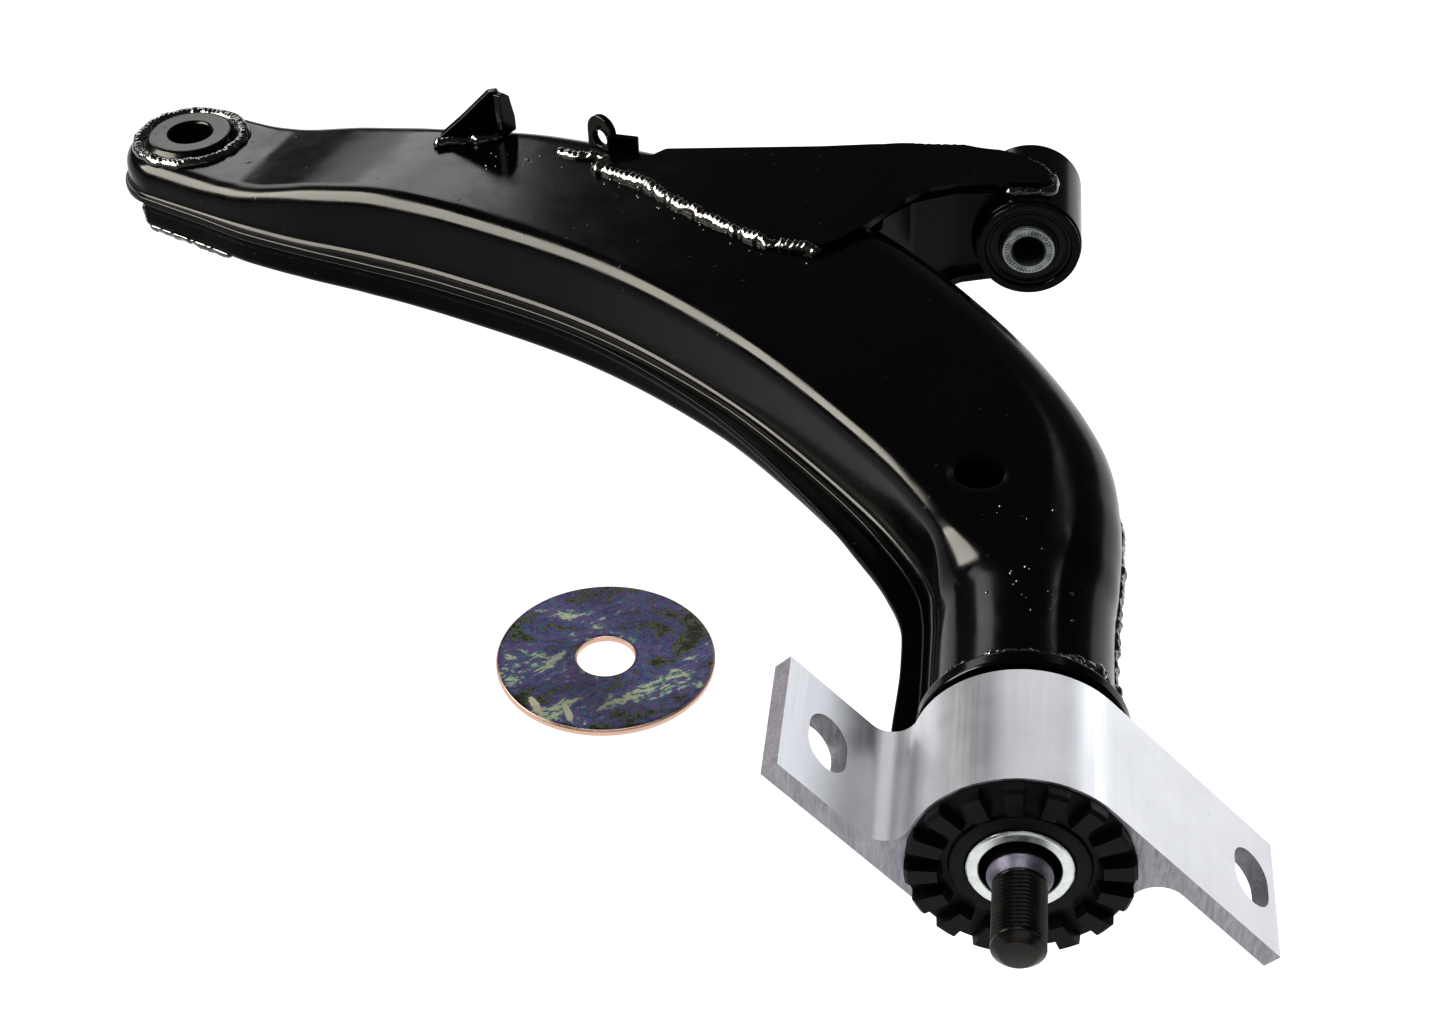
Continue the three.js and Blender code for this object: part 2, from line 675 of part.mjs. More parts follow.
const arm = new THREE.Group();
arm.add(
  piece('upper_shell', upperShell(), blackPaint),
  piece('lower_shell', lowerShell(), blackPaint),
  piece('ball_joint_boss', boss(), blackPaint),
  piece('boss_weld', bossWeld(), weldPaint),
  piece('lower_end_weld', lowerEndWeld(), weldPaint),
  piece('front_arm_plate', frontArmPlate(), blackPaint),
  piece('front_arm_channel', frontArmChannel(), blackPaint),
  piece('front_bush_tube', frontTube(), blackPaint),
  piece('front_bush_shell', frontBushShell(), darkSteel),
  piece('front_bush_rubber', frontBushRubber(), blackRubber),
  piece('front_bush_sleeve', frontSleeve(), zinc),
  piece('link_lug_outer', outerLug(), blackPaint),
  piece('link_lug_inner', innerLug(), blackPaint),
  piece('gusset_weld', gussetWeld(), weldPaint),
  piece('seam_weld', seamWeld(), weldPaint),
  piece('neck_weld', neckWeld(), weldPaint),
  piece('tube_weld', tubeWeld(), weldPaint),
  piece('outer_lug_weld', lugWeld(lugPaths.outer, 3.4), weldPaint),
  piece('inner_lug_weld', lugWeld(lugPaths.inner, 3), weldPaint),
  piece('rear_stud', rearStud(), darkSteel),
  piece('stud_carrier', studCarrier(), blackPaint),
  piece('stopper_disc', stopperDisc(), blackPaint),
  piece('rear_bush_sleeve', rearSleeve(), zinc),
);
arm.rotation.y = -restTilt;

const rearBush = new THREE.Group();
rearBush.add(
  piece('bracket_housing', bracket(), paleAlloy),
  piece('rear_bush_shell', rearBushShell(), darkSteel),
  piece('rear_bush_rubber', rearBushRubber(), blackRubber),
  piece('toothed_snubber', toothedSnubber(), blackRubber),
  piece('rear_flange_rubber', rearFlange(), blackRubber),
);

const controlArm = new THREE.Group();
controlArm.add(arm, rearBush, piece('stopper_washer', washer(), yellowZinc));

// The origin is the middle of the base of the whole object's box.
controlArm.updateMatrixWorld(true);
const box = new THREE.Box3().setFromObject(controlArm, true);
const middle = box.getCenter(new THREE.Vector3());
controlArm.position.set(-middle.x, -middle.y, -box.min.z);

export default controlArm;
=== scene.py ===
# Looks of a front lower control arm: pressed black arm, cast boss, welded front bush tube,
# threaded stud, rubber bush in an extruded two-eared bracket, and a loose stopper washer.
import math
import bmesh
import bpy
import numpy as np
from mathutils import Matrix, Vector


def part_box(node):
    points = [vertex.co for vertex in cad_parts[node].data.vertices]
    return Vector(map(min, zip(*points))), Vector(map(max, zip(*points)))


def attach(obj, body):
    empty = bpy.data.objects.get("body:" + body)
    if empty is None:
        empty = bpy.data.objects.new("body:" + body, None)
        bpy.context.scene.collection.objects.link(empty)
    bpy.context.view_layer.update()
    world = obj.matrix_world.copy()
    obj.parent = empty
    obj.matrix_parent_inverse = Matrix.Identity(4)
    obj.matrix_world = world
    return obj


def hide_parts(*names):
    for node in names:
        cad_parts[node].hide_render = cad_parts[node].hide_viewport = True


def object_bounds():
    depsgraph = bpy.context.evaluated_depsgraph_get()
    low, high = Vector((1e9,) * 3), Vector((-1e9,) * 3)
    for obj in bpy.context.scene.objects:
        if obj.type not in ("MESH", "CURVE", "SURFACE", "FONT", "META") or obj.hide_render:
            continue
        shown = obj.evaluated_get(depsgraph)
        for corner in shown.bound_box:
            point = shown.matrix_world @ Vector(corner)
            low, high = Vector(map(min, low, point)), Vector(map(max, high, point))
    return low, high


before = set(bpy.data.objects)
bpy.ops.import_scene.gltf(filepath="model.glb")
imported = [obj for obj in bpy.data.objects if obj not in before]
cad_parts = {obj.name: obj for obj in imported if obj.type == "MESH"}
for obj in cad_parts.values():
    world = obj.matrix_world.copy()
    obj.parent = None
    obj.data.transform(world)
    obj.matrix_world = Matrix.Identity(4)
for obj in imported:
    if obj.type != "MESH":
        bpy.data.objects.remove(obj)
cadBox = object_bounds()
print("frame loaded:", len(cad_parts), "nodes")

# All shapes below are in millimetres from the centre of the bracket ring's near face.
bushLow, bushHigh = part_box("rear_bush_shell")
home = np.array([(bushLow.x + bushHigh.x) / 2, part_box("bracket_housing")[0].y, (bushLow.z + bushHigh.z) / 2])
restTilt = math.radians(2.4)  # the arm leans about the stud until its boss stands on the floor


# Point on the floor's frame: plain shift by home, millimetres to metres.
def floorPlace(points):
    return home + points / 1000


# Point on the arm: turned by the rest tilt about the stud's axis, then shifted.
def armPlace(points):
    x, y, z = points[..., 0], points[..., 1], points[..., 2]
    turnedX = x * math.cos(restTilt) - z * math.sin(restTilt)
    turnedZ = z * math.cos(restTilt) + x * math.sin(restTilt)
    return floorPlace(np.stack([turnedX, y, turnedZ], axis=-1))


# Quads of a rows x cols grid of points, with either direction closed on itself if asked.
def gridQuads(rows, cols, closeRows=False, closeCols=False):
    index = np.arange(rows * cols).reshape(rows, cols)
    if closeRows:
        index = np.vstack([index, index[:1]])
    if closeCols:
        index = np.hstack([index, index[:, :1]])
    corners = [index[:-1, :-1], index[1:, :-1], index[1:, 1:], index[:-1, 1:]]
    return np.stack(corners, axis=-1).reshape(-1, 4)


# A (points, quads) part from a grid of points shaped rows x cols x 3.
def gridPart(points, closeRows=False, closeCols=False):
    rows, cols = points.shape[:2]
    return points.reshape(-1, 3), gridQuads(rows, cols, closeRows, closeCols)


# The strip of quads between two lines of points of equal length.
def stripPart(lineA, lineB, closed=False):
    return gridPart(np.stack([lineA, lineB]), closeCols=closed)


# Dark paint and bare metal are lit by different softboxes: each piece joins one of these groups.
litGroups = {kind: bpy.data.collections.new(kind + "_pieces") for kind in ("painted", "bare")}


# Puts the parts in one mesh, merges shared points, turns faces outwards and shades them. A part may
# carry a third value, the place of its finish in the list of materials.
def makePiece(name, parts, material, body, nodes=(), place=armPlace, sharp=38, bevel=0):
    points, quads, finishes, start = [], [], [], 0
    for part in parts:
        points.append(part[0])
        quads.append(part[1] + start)
        finishes.append(np.full(len(part[1]), part[2] if len(part) > 2 else 0))
        start += len(part[0])
    mesh = bpy.data.meshes.new(name)
    mesh.from_pydata(place(np.concatenate(points)).tolist(), [], np.concatenate(quads).tolist())
    for finish in (material if isinstance(material, list) else [material]):
        mesh.materials.append(finish)
    mesh.polygons.foreach_set("material_index", np.concatenate(finishes))
    work = bmesh.new()
    work.from_mesh(mesh)
    bmesh.ops.remove_doubles(work, verts=work.verts, dist=1.5e-5)
    bmesh.ops.dissolve_degenerate(work, edges=work.edges, dist=1e-6)
    bmesh.ops.recalc_face_normals(work, faces=work.faces)
    work.to_mesh(mesh)
    work.free()
    mesh.shade_smooth()
    mesh.set_sharp_from_angle(angle=math.radians(sharp))
    piece = bpy.data.objects.new(name, mesh)
    bpy.context.scene.collection.objects.link(piece)
    litGroups["painted" if "paint" in mesh.materials[0].name else "bare"].objects.link(piece)
    if bevel:
        edges = piece.modifiers.new("edges", "BEVEL")
        edges.width = bevel / 1000
        edges.segments = 3
        edges.limit_method = "ANGLE"
        edges.angle_limit = math.radians(sharp)
        edges.harden_normals = True
    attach(piece, body)
    if nodes:
        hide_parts(*nodes)
    return piece


# Centripetal spline: each span is a cubic whose end slopes come from square-root spaced neighbours.
def splineThrough(points, t):
    points = np.asarray(points, float)
    spans = len(points) - 1
    along = np.clip(t, 0, 1) * spans
    first = np.minimum(along.astype(int), spans - 1)
    w = (along - first)[:, None]
    ends = np.vstack([2 * points[0] - points[1], points, 2 * points[-1] - points[-2]])
    p0, p1, p2, p3 = (ends[first + k] for k in range(4))
    pairs = ((p0, p1), (p1, p2), (p2, p3))
    d0, d1, d2 = (np.sqrt(np.linalg.norm(b - a, axis=1))[:, None] for a, b in pairs)
    slopeA = ((p1 - p0) / d0 - (p2 - p0) / (d0 + d1) + (p2 - p1) / d1) * d1
    slopeB = ((p2 - p1) / d1 - (p3 - p1) / (d1 + d2) + (p3 - p2) / d2) * d1
    return (p1 + slopeA * w + (3 * (p2 - p1) - 2 * slopeA - slopeB) * w ** 2
            + (2 * (p1 - p2) + slopeA + slopeB) * w ** 3)


# Even steps along a line of points; the corners are eased by a moving average of the given reach.
def evenPath(points, step=0.5, ease=0.0):
    points = np.asarray(points, float)
    length = np.concatenate([[0], np.cumsum(np.linalg.norm(np.diff(points, axis=0), axis=1))])
    count = max(int(length[-1] / step), 4) + 1
    s = np.linspace(0, length[-1], count)
    path = np.stack([np.interp(s, length, points[:, k]) for k in range(points.shape[1])], axis=-1)
    reach = int(ease / step)
    if reach > 0:
        padded = np.vstack([2 * path[0] - path[reach:0:-1], path, 2 * path[-1] - path[-2:-reach - 2:-1]])
        total = np.vstack([np.zeros(path.shape[1]), np.cumsum(padded, axis=0)])
        window = 2 * reach + 1
        path = (total[window:] - total[:-window]) / window
    return path


# Corners of a polygon rounded by a parabola whose two ends lie the given distance from the corner,
# with one more point just outside each end to hold the flats flat.
def roundCorners(points, radius, closed=True, steps=4):
    points = np.asarray(points, float)
    before = np.roll(points, 1, axis=0) - points
    after = np.roll(points, -1, axis=0) - points
    lengthA = np.linalg.norm(before, axis=1, keepdims=True)
    lengthB = np.linalg.norm(after, axis=1, keepdims=True)
    cut = np.minimum(radius, 0.38 * np.minimum(lengthA, lengthB))
    a = points + before / np.maximum(lengthA, 1e-9) * cut
    b = points + after / np.maximum(lengthB, 1e-9) * cut
    holdA = points + before / np.maximum(lengthA, 1e-9) * cut * 1.25
    holdB = points + after / np.maximum(lengthB, 1e-9) * cut * 1.25
    w = np.linspace(0, 1, steps + 1)[None, :, None]
    bend = (1 - w) ** 2 * a[:, None] + 2 * w * (1 - w) * points[:, None] + w ** 2 * b[:, None]
    rounded = np.concatenate([holdA[:, None], bend, holdB[:, None]], axis=1)
    if closed:
        return rounded.reshape(-1, 2)
    inner = rounded[1:-1].reshape(-1, 2)
    return np.vstack([points[:1], inner, points[-1:]])


# Smooth repeatable unevenness: seeded random heights at even knots, joined by cosine steps.
def wander(s, knot, seed):
    rng = np.random.default_rng(seed)
    place = np.asarray(s) / knot
    low = np.floor(place).astype(int)
    heights = rng.uniform(-1, 1, int(low.max()) + 3)
    w = 0.5 - 0.5 * np.cos(math.pi * (place - low))
    return heights[low] * (1 - w) + heights[low + 1] * w


# A [radius, height] profile turned about an axis along Y at (x, z), or about Z at (x, y) if upright.
def turnedPart(profile, centre=(0, 0), segments=96, upright=False, closed=True):
    profile = np.asarray(profile, float)
    angle = np.linspace(0, 2 * math.pi, segments, endpoint=False)[:, None]
    radius, height = profile[:, 0][None, :], profile[:, 1][None, :]
    a = centre[0] + radius * np.sin(angle)
    b = centre[1] + radius * np.cos(angle)
    h = height + 0 * angle
    points = np.stack([a, b, h] if upright else [a, h, b], axis=-1)
    return gridPart(points, closeRows=True, closeCols=closed)


# One material's nodes: each method adds a node, joins its inputs and gives back its output.
class Nodes:
    def __init__(self, name):
        self.material = bpy.data.materials.new(name)
        self.material.use_nodes = True
        self.tree = self.material.node_tree
        self.shader = self.tree.nodes["Principled BSDF"]
        self.place = self.add("ShaderNodeTexCoord").outputs["Object"]

    def add(self, kind, **values):
        node = self.tree.nodes.new(kind)
        for key, value in values.items():
            setattr(node, key, value)
        return node

    def join(self, source, target):
        self.tree.links.new(source, target)

    # Noise at a given size in millimetres.
    def noise(self, size, detail=3.0, rough=0.55, distort=0.0, stretch=(1, 1, 1), source=None):
        mapping = self.add("ShaderNodeMapping")
        mapping.inputs["Scale"].default_value = stretch
        self.join(source or self.place, mapping.inputs["Vector"])
        node = self.add("ShaderNodeTexNoise")
        node.inputs["Scale"].default_value = 1000 / size
        node.inputs["Detail"].default_value = detail
        node.inputs["Roughness"].default_value = rough
        node.inputs["Distortion"].default_value = distort
        self.join(mapping.outputs["Vector"], node.inputs["Vector"])
        return node.outputs["Fac"]

    def speck(self, size, jitter=1.0):
        node = self.add("ShaderNodeTexVoronoi")
        node.inputs["Scale"].default_value = 1000 / size
        node.inputs["Randomness"].default_value = jitter
        self.join(self.place, node.inputs["Vector"])
        return node.outputs["Distance"]

    def remap(self, source, low, high, toLow, toHigh):
        node = self.add("ShaderNodeMapRange")
        node.inputs["From Min"].default_value = low
        node.inputs["From Max"].default_value = high
        node.inputs["To Min"].default_value = toLow
        node.inputs["To Max"].default_value = toHigh
        self.join(source, node.inputs["Value"])
        return node.outputs["Result"]

    def maths(self, kind, a, b):
        node = self.add("ShaderNodeMath", operation=kind)
        for socket, value in zip(node.inputs, (a, b)):
            if isinstance(value, (int, float)):
                socket.default_value = value
            else:
                self.join(value, socket)
        return node.outputs["Value"]

    def ramp(self, source, stops):
        node = self.add("ShaderNodeValToRGB")
        elements = node.color_ramp.elements
        while len(elements) < len(stops):
            elements.new(0.5)
        for element, (where, colour) in zip(elements, stops):
            element.position = where
            element.color = (*colour, 1)
        self.join(source, node.inputs["Fac"])
        return node.outputs["Color"]

    def mix(self, amount, a, b):
        node = self.add("ShaderNodeMix", data_type="RGBA")
        self.join(amount, node.inputs["Factor"])
        for socket, value in zip(node.inputs[6:8], (a, b)):
            if isinstance(value, tuple):
                socket.default_value = (*value, 1)
            else:
                self.join(value, socket)
        return node.outputs[2]

    def bump(self, height, depth, strength=1.0, under=None):
        node = self.add("ShaderNodeBump")
        node.inputs["Strength"].default_value = strength
        node.inputs["Distance"].default_value = depth / 1000
        self.join(height, node.inputs["Height"])
        if under is not None:
            self.join(under, node.inputs["Normal"])
        return node.outputs["Normal"]

    def set(self, **sockets):
        for key, value in sockets.items():
            socket = self.shader.inputs[key.replace("_", " ")]
            if isinstance(value, (int, float, tuple)):
                socket.default_value = value
            else:
                self.join(value, socket)
        return self.material


paintValues = {
    "colour": (0.0004, 0.0004, 0.0005), "gloss": 0.11, "dull": 0.25, "orangePeel": 2.6, "peelDepth": 0.005,
    "speckSize": 9, "dingSize": 47, "dingDepth": 0.22,
}


# Sprayed gloss black over bare steel: orange peel, dull drifts, dust specks and a few shallow dings.
def blackPaint(name, shine, lumps=0.0, coat=0.0):
    n = Nodes(name)
    drift = n.noise(38, 4, 0.6)
    fine = n.noise(7, 3, 0.6)
    cover = n.maths("ADD", n.maths("MULTIPLY", drift, 0.7), n.maths("MULTIPLY", fine, 0.3))
    gloss = n.remap(cover, 0.35, 0.68, paintValues["gloss"], paintValues["dull"])
    specks = n.remap(n.speck(paintValues["speckSize"]), 0.05, 0.085, 1, 0)
    colour = n.mix(n.maths("MULTIPLY", specks, 0.1), paintValues["colour"], (0.04, 0.04, 0.04))
    peel = n.bump(n.noise(paintValues["orangePeel"], 2), paintValues["peelDepth"])
    waves = n.bump(n.noise(24, 2), 0.05, under=peel)
    hollows = n.remap(n.speck(paintValues["dingSize"]), 0.02, 0.06, 0, 1)
    dings = n.bump(hollows, paintValues["dingDepth"], under=waves)
    normal = n.bump(specks, 0.05, under=dings)
    if lumps:
        normal = n.bump(n.noise(3.2, 3), lumps, under=normal)
        normal = n.bump(n.noise(1.1, 2), lumps * 0.35, under=normal)
    return n.set(Base_Color=colour, Roughness=gloss, Normal=normal, Specular_IOR_Level=shine,
                 Coat_Weight=coat, Coat_Roughness=0.06)


# Satin extruded aluminium: fine lines along the extrusion, soft clouds, tiny pits and a few dark rubs.
def paleAlloy():
    n = Nodes("satin_aluminium")
    drawn = n.noise(1.4, 2, 0.5, stretch=(1, 0.02, 1))
    cloud = n.noise(22, 3)
    pits = n.remap(n.speck(3.1), 0.06, 0.12, 1, 0)
    spots = n.remap(n.noise(10, 4, 0.7), 0.6, 0.68, 0, 1)
    pitted = n.maths("MULTIPLY", pits, spots)
    rub = n.remap(n.noise(15, 6, 0.75, distort=0.6, stretch=(1, 2.5, 1)), 0.7, 0.76, 0, 0.75)
    tone = n.ramp(cloud, [(0.3, (0.66, 0.67, 0.7)), (0.7, (0.76, 0.77, 0.8))])
    tone = n.mix(n.maths("MULTIPLY", pitted, 0.8), tone, (0.16, 0.16, 0.17))
    tone = n.mix(rub, tone, (0.25, 0.25, 0.27))
    rough = n.remap(n.maths("ADD", drawn, cloud), 0.7, 1.3, 0.34, 0.47)
    lines = n.bump(drawn, 0.02, strength=0.5)
    normal = n.bump(pitted, -0.08, under=lines)
    return n.set(Base_Color=tone, Metallic=0.88, Roughness=rough, Normal=normal)


# Sawn or milled aluminium: dull lilac grey, crossed by fine uneven tool lines.
def cutAlloy(name, tone, lineSize, stretch, depth):
    n = Nodes(name)
    tool = n.noise(lineSize, 3, 0.65, stretch=stretch)
    cloud = n.noise(6, 4, 0.65)
    shade = n.maths("ADD", n.maths("MULTIPLY", tool, 0.65), n.maths("MULTIPLY", cloud, 0.35))
    colour = n.ramp(shade, [(0.36, tuple(0.62 * c for c in tone)), (0.62, tone)])
    return n.set(Base_Color=colour, Metallic=0.6, Roughness=n.remap(cloud, 0.3, 0.7, 0.45, 0.62),
                 Normal=n.bump(tool, depth, strength=0.9))


# Moulded rubber: grey bloom over black, with a fine moulded grain.
def blackRubber():
    n = Nodes("moulded_rubber")
    bloom = n.noise(9, 4, 0.65)
    colour = n.ramp(bloom, [(0.35, (0.002, 0.002, 0.0022)), (0.78, (0.006, 0.006, 0.0065))])
    grain = n.bump(n.noise(0.7, 2), 0.03, strength=0.6)
    normal = n.bump(n.noise(5, 2), 0.08, under=grain)
    return n.set(Base_Color=colour, Roughness=n.remap(bloom, 0.3, 0.7, 0.4, 0.58), Normal=normal,
                 Specular_IOR_Level=0.15)


# Zinc plate of a given tint, with fine marks and dull bloom.
def zincPlate(name, tint, low, high):
    n = Nodes(name)
    bloom = n.noise(4, 4, 0.65)
    marks = n.noise(0.5, 2, 0.6, stretch=(1, 6, 1))
    colour = n.ramp(bloom, [(0.3, tuple(0.72 * c for c in tint)), (0.62, tint)])
    normal = n.bump(marks, 0.03, strength=0.6)
    rough = n.remap(bloom, 0.3, 0.7, low, high)
    return n.set(Base_Color=colour, Metallic=1.0, Roughness=rough, Normal=normal)


# Phosphated steel, oiled: brown-black, with a low sheen.
def darkSteel():
    n = Nodes("oiled_dark_steel")
    bloom = n.noise(6, 4, 0.6)
    colour = n.ramp(bloom, [(0.3, (0.004, 0.0034, 0.003)), (0.66, (0.02, 0.016, 0.012))])
    normal = n.bump(n.noise(0.8, 3), 0.02, strength=0.7)
    rough = n.remap(bloom, 0.3, 0.7, 0.2, 0.34)
    return n.set(Base_Color=colour, Metallic=0.5, Roughness=rough, Normal=normal)


washer = {
    "centre": (-137.7, 112.0), "radius": 36.8, "hole": 9.75, "thick": 2.4, "floor": -34.5,
    # two bright scratches: place from the centre, half length, half width in millimetres, turn in degrees
    "scratches": [(-19.6, -26.5, 5.0, 1.5, -58), (-8.0, -29.4, 5.4, 1.3, -66)],
}


# Chromate over zinc: purple, navy, teal and magenta streaks that wander over a dark face, with darker
# drifts, a fine pale grain, a bare rim and two scratches.
def yellowZinc():
    n = Nodes("iridescent_chromate")
    middle = floorPlace(np.array([*washer["centre"], washer["floor"]]))
    turned = n.add("ShaderNodeMapping")
    turned.inputs["Location"].default_value = (-middle[0], -middle[1], 0)
    n.join(n.place, turned.inputs["Vector"])
    local = turned.outputs["Vector"]
    slant = n.add("ShaderNodeMapping")
    slant.inputs["Rotation"].default_value = (0, 0, math.radians(-24))
    n.join(local, slant.inputs["Vector"])
    streak = slant.outputs["Vector"]
    warp = n.noise(34, 6, 0.7, distort=1.2, stretch=(1, 1.5, 1), source=streak)
    fleck = n.noise(5, 5, 0.75, distort=0.8, stretch=(1, 1.4, 1), source=streak)
    blend = n.maths("ADD", n.maths("MULTIPLY", warp, 0.68), n.maths("MULTIPLY", fleck, 0.32))
    film = n.remap(blend, 0.42, 0.58, 0.28, 0.72)
    colour = n.ramp(film, [
        (0.30, (0.02, 0.022, 0.012)), (0.36, (0.06, 0.11, 0.04)), (0.40, (0.1, 0.03, 0.09)),
        (0.44, (0.05, 0.035, 0.2)), (0.47, (0.03, 0.07, 0.19)), (0.50, (0.05, 0.2, 0.14)),
        (0.53, (0.12, 0.06, 0.2)), (0.56, (0.22, 0.06, 0.22)), (0.60, (0.05, 0.07, 0.25)),
        (0.64, (0.12, 0.3, 0.2)), (0.70, (0.5, 0.52, 0.38)),
    ])
    broad = n.remap(n.noise(46, 2), 0.42, 0.62, 0, 1)
    colour = n.mix(n.maths("MULTIPLY", broad, 0.45), colour, (0.02, 0.014, 0.022))
    grain = n.remap(n.noise(1.1, 4, 0.8), 0.5, 0.7, 0, 0.5)
    colour = n.mix(grain, colour, (0.16, 0.15, 0.14))
    apart = n.add("ShaderNodeVectorMath", operation="LENGTH")
    flat = n.add("ShaderNodeVectorMath", operation="MULTIPLY")
    flat.inputs[1].default_value = (1, 1, 0)
    n.join(local, flat.inputs[0])
    n.join(flat.outputs["Vector"], apart.inputs[0])
    reach = apart.outputs["Value"]
    rim = n.remap(reach, (washer["radius"] - 0.9) / 1000, (washer["radius"] - 0.3) / 1000, 0, 1)
    eye = n.remap(reach, (washer["hole"] + 0.3) / 1000, (washer["hole"] + 0.6) / 1000, 1, 0)
    colour = n.mix(n.maths("MAXIMUM", rim, eye), colour, (0.62, 0.42, 0.33))
    for x, y, long, wide, turn in washer["scratches"]:
        spot = n.add("ShaderNodeMapping", vector_type="TEXTURE")
        spot.inputs["Location"].default_value = (x / 1000, y / 1000, 0)
        spot.inputs["Rotation"].default_value = (0, 0, math.radians(turn))
        spot.inputs["Scale"].default_value = (long / 1000, wide / 1000, 1)
        n.join(local, spot.inputs["Vector"])
        size = n.add("ShaderNodeVectorMath", operation="LENGTH")
        n.join(spot.outputs["Vector"], size.inputs[0])
        ragged = n.maths("ADD", size.outputs["Value"], n.remap(fleck, 0.3, 0.7, -0.35, 0.35))
        colour = n.mix(n.remap(ragged, 0.8, 1.0, 0.85, 0), colour, (0.5, 0.46, 0.34))
    normal = n.bump(n.noise(1.6, 3, 0.6, stretch=(1, 0.2, 1)), 0.02, strength=0.7)
    rough = n.remap(film, 0.35, 0.65, 0.26, 0.4)
    return n.set(Base_Color=colour, Metallic=0.85, Roughness=rough, Normal=normal)


paint = blackPaint("gloss_black_paint", 0.09)
panPaint = blackPaint("thin_black_paint", 0.03)
weldPaint = blackPaint("painted_weld", 0.5, lumps=0.3, coat=0.5)
alloy = paleAlloy()
sawnAlloy = cutAlloy("sawn_aluminium", (0.4, 0.38, 0.42), 0.9, (1, 1, 0.14), 0.05)
# painted shade: a darker copy of the cut aluminium for the slot walls, which face away from the light
slotAlloyPaintedShade = cutAlloy("milled_slot_aluminium", (0.3, 0.29, 0.32), 1.2, (1, 1, 0.2), 0.04)
rubber = blackRubber()
zinc = zincPlate("zinc_plate", (0.68, 0.71, 0.7), 0.24, 0.42)
dullZinc = zincPlate("worn_zinc_face", (0.25, 0.27, 0.26), 0.3, 0.5)
# painted shade: near-black zinc for the sleeves' bores and the rear recess, standing in for the shade inside
# them
boreZincPaintedShade = zincPlate("dark_bore", (0.05, 0.055, 0.055), 0.4, 0.6)
collarZinc = zincPlate("pale_shoulder", (0.32, 0.3, 0.37), 0.35, 0.5)
steel = darkSteel()
chromate = yellowZinc()
print("materials made")


shells = {
    "sheet": 3.0, "seam": -4.0, "lipThick": 2.6, "clearance": 0.3,
    "bossCentre": (-353.4, 385.4), "bossGap": 20.2,
    "drainCentre": (-16.5, 149.2), "drainRadius": 8.4, "drainRoll": 0.6,
    "rowsPerStation": 15, "fanRows": 30, "arcSteps": 15, "flatSteps": 31,
    "lipCorner": 0.8, "lipFillet": 3.0,
}
# left wall x y, right wall x y, top, left edge radius, right roll radius, lip, flare, base level, heel radius
stations = np.array([
    [-28, 57, 28, 57, 28, 28, 28, 4.5, 8, -26, 14],
    [-28, 84, 28, 84, 28, 28, 28, 4.5, 6.5, -26, 14],
    [-28.2, 106, 28.6, 104, 28, 26, 27, 5, 6.5, -25, 13],
    [-30, 121, 30, 120, 28, 9, 25, 6, 9, -24, 12],
    [-42, 145, 31, 148, 28, 8, 24, 6, 9.5, -22, 10],
    [-60, 170.7, 26.5, 184, 28, 8, 24, 5, 8, -20, 8],
    [-106.1, 223.8, -6.5, 252.5, 28, 8, 24, 4.5, 4, -18.5, 6],
    [-162.7, 270.5, -78, 333, 28, 8, 22, 5.5, 0.5, -19, 5],
    [-226.8, 304.1, -185, 376, 28, 8, 18, 5.5, 0.5, -19, 5],
    [-261.4, 317.6, -240, 381.5, 27.2, 8, 14, 6, 0, -18, 5],
    [-294.9, 328, -277, 388.5, 21.5, 8, 10, 4.5, 0, -18, 5],
    [-320, 338, -303, 396, 14.5, 8, 8, 4.5, 0, -17.8, 5],
    [-340, 347.5, -320, 402, 12.5, 8, 8, 3.2, 0, -17.4, 5],
    [-368.2, 361.2, -338.6, 409.6, 12.5, 8, 8, 2.4, 0, -17, 5],
])


# Everything that varies along the arm, at each t from the neck (0) to the boss (1).
def armAt(t):
    place = t * (len(stations) - 1)
    near = np.clip(place[:, None] + np.linspace(-0.3, 0.3, 13)[None, :], 0, len(stations) - 1)
    knots = np.arange(len(stations))
    names = ["top", "edge", "roll", "lip", "flare", "base", "heel"]
    at = {}
    for name, column in zip(names, stations[:, 4:].T):
        at[name] = np.interp(near, knots, column).mean(axis=1)[:, None]
    at["lip"] = np.interp(place, knots, stations[:, 7])[:, None]
    at["left"] = splineThrough(stations[:, 0:2], t)
    across = splineThrough(stations[:, 2:4], t) - at["left"]
    at["width"] = np.linalg.norm(across, axis=1)[:, None]
    at["across"] = across / at["width"]
    return at


# Columns of [distance from left wall, height] on an arc, angles in degrees, one row per station.
def arcColumns(centreA, centreZ, radius, start, stop, count):
    angle = np.radians(np.linspace(start, stop, count))[None, :]
    return centreA + radius * np.cos(angle), centreZ + radius * np.sin(angle)


# Columns strictly between two points that move with the station.
def lineColumns(a0, z0, a1, z1, count):
    w = (np.arange(1, count + 1) / (count + 1))[None, :]
    return a0 + (a1 - a0) * w, z0 + (z1 - z0) * w


# Sets the columns side by side, each spread over all the rows.
def joinColumns(columns, rows):
    across = np.hstack([np.broadcast_to(a, (rows, np.shape(a)[1])) for a, _ in columns])
    height = np.hstack([np.broadcast_to(z, (rows, np.shape(z)[1])) for _, z in columns])
    return across, height


# Puts [across, height] sections into place along the arm.
def inPlan(at, across, height):
    points = at["left"][:, None, :] + at["across"][:, None, :] * across[..., None]
    return np.concatenate([points, height[..., None]], axis=-1)


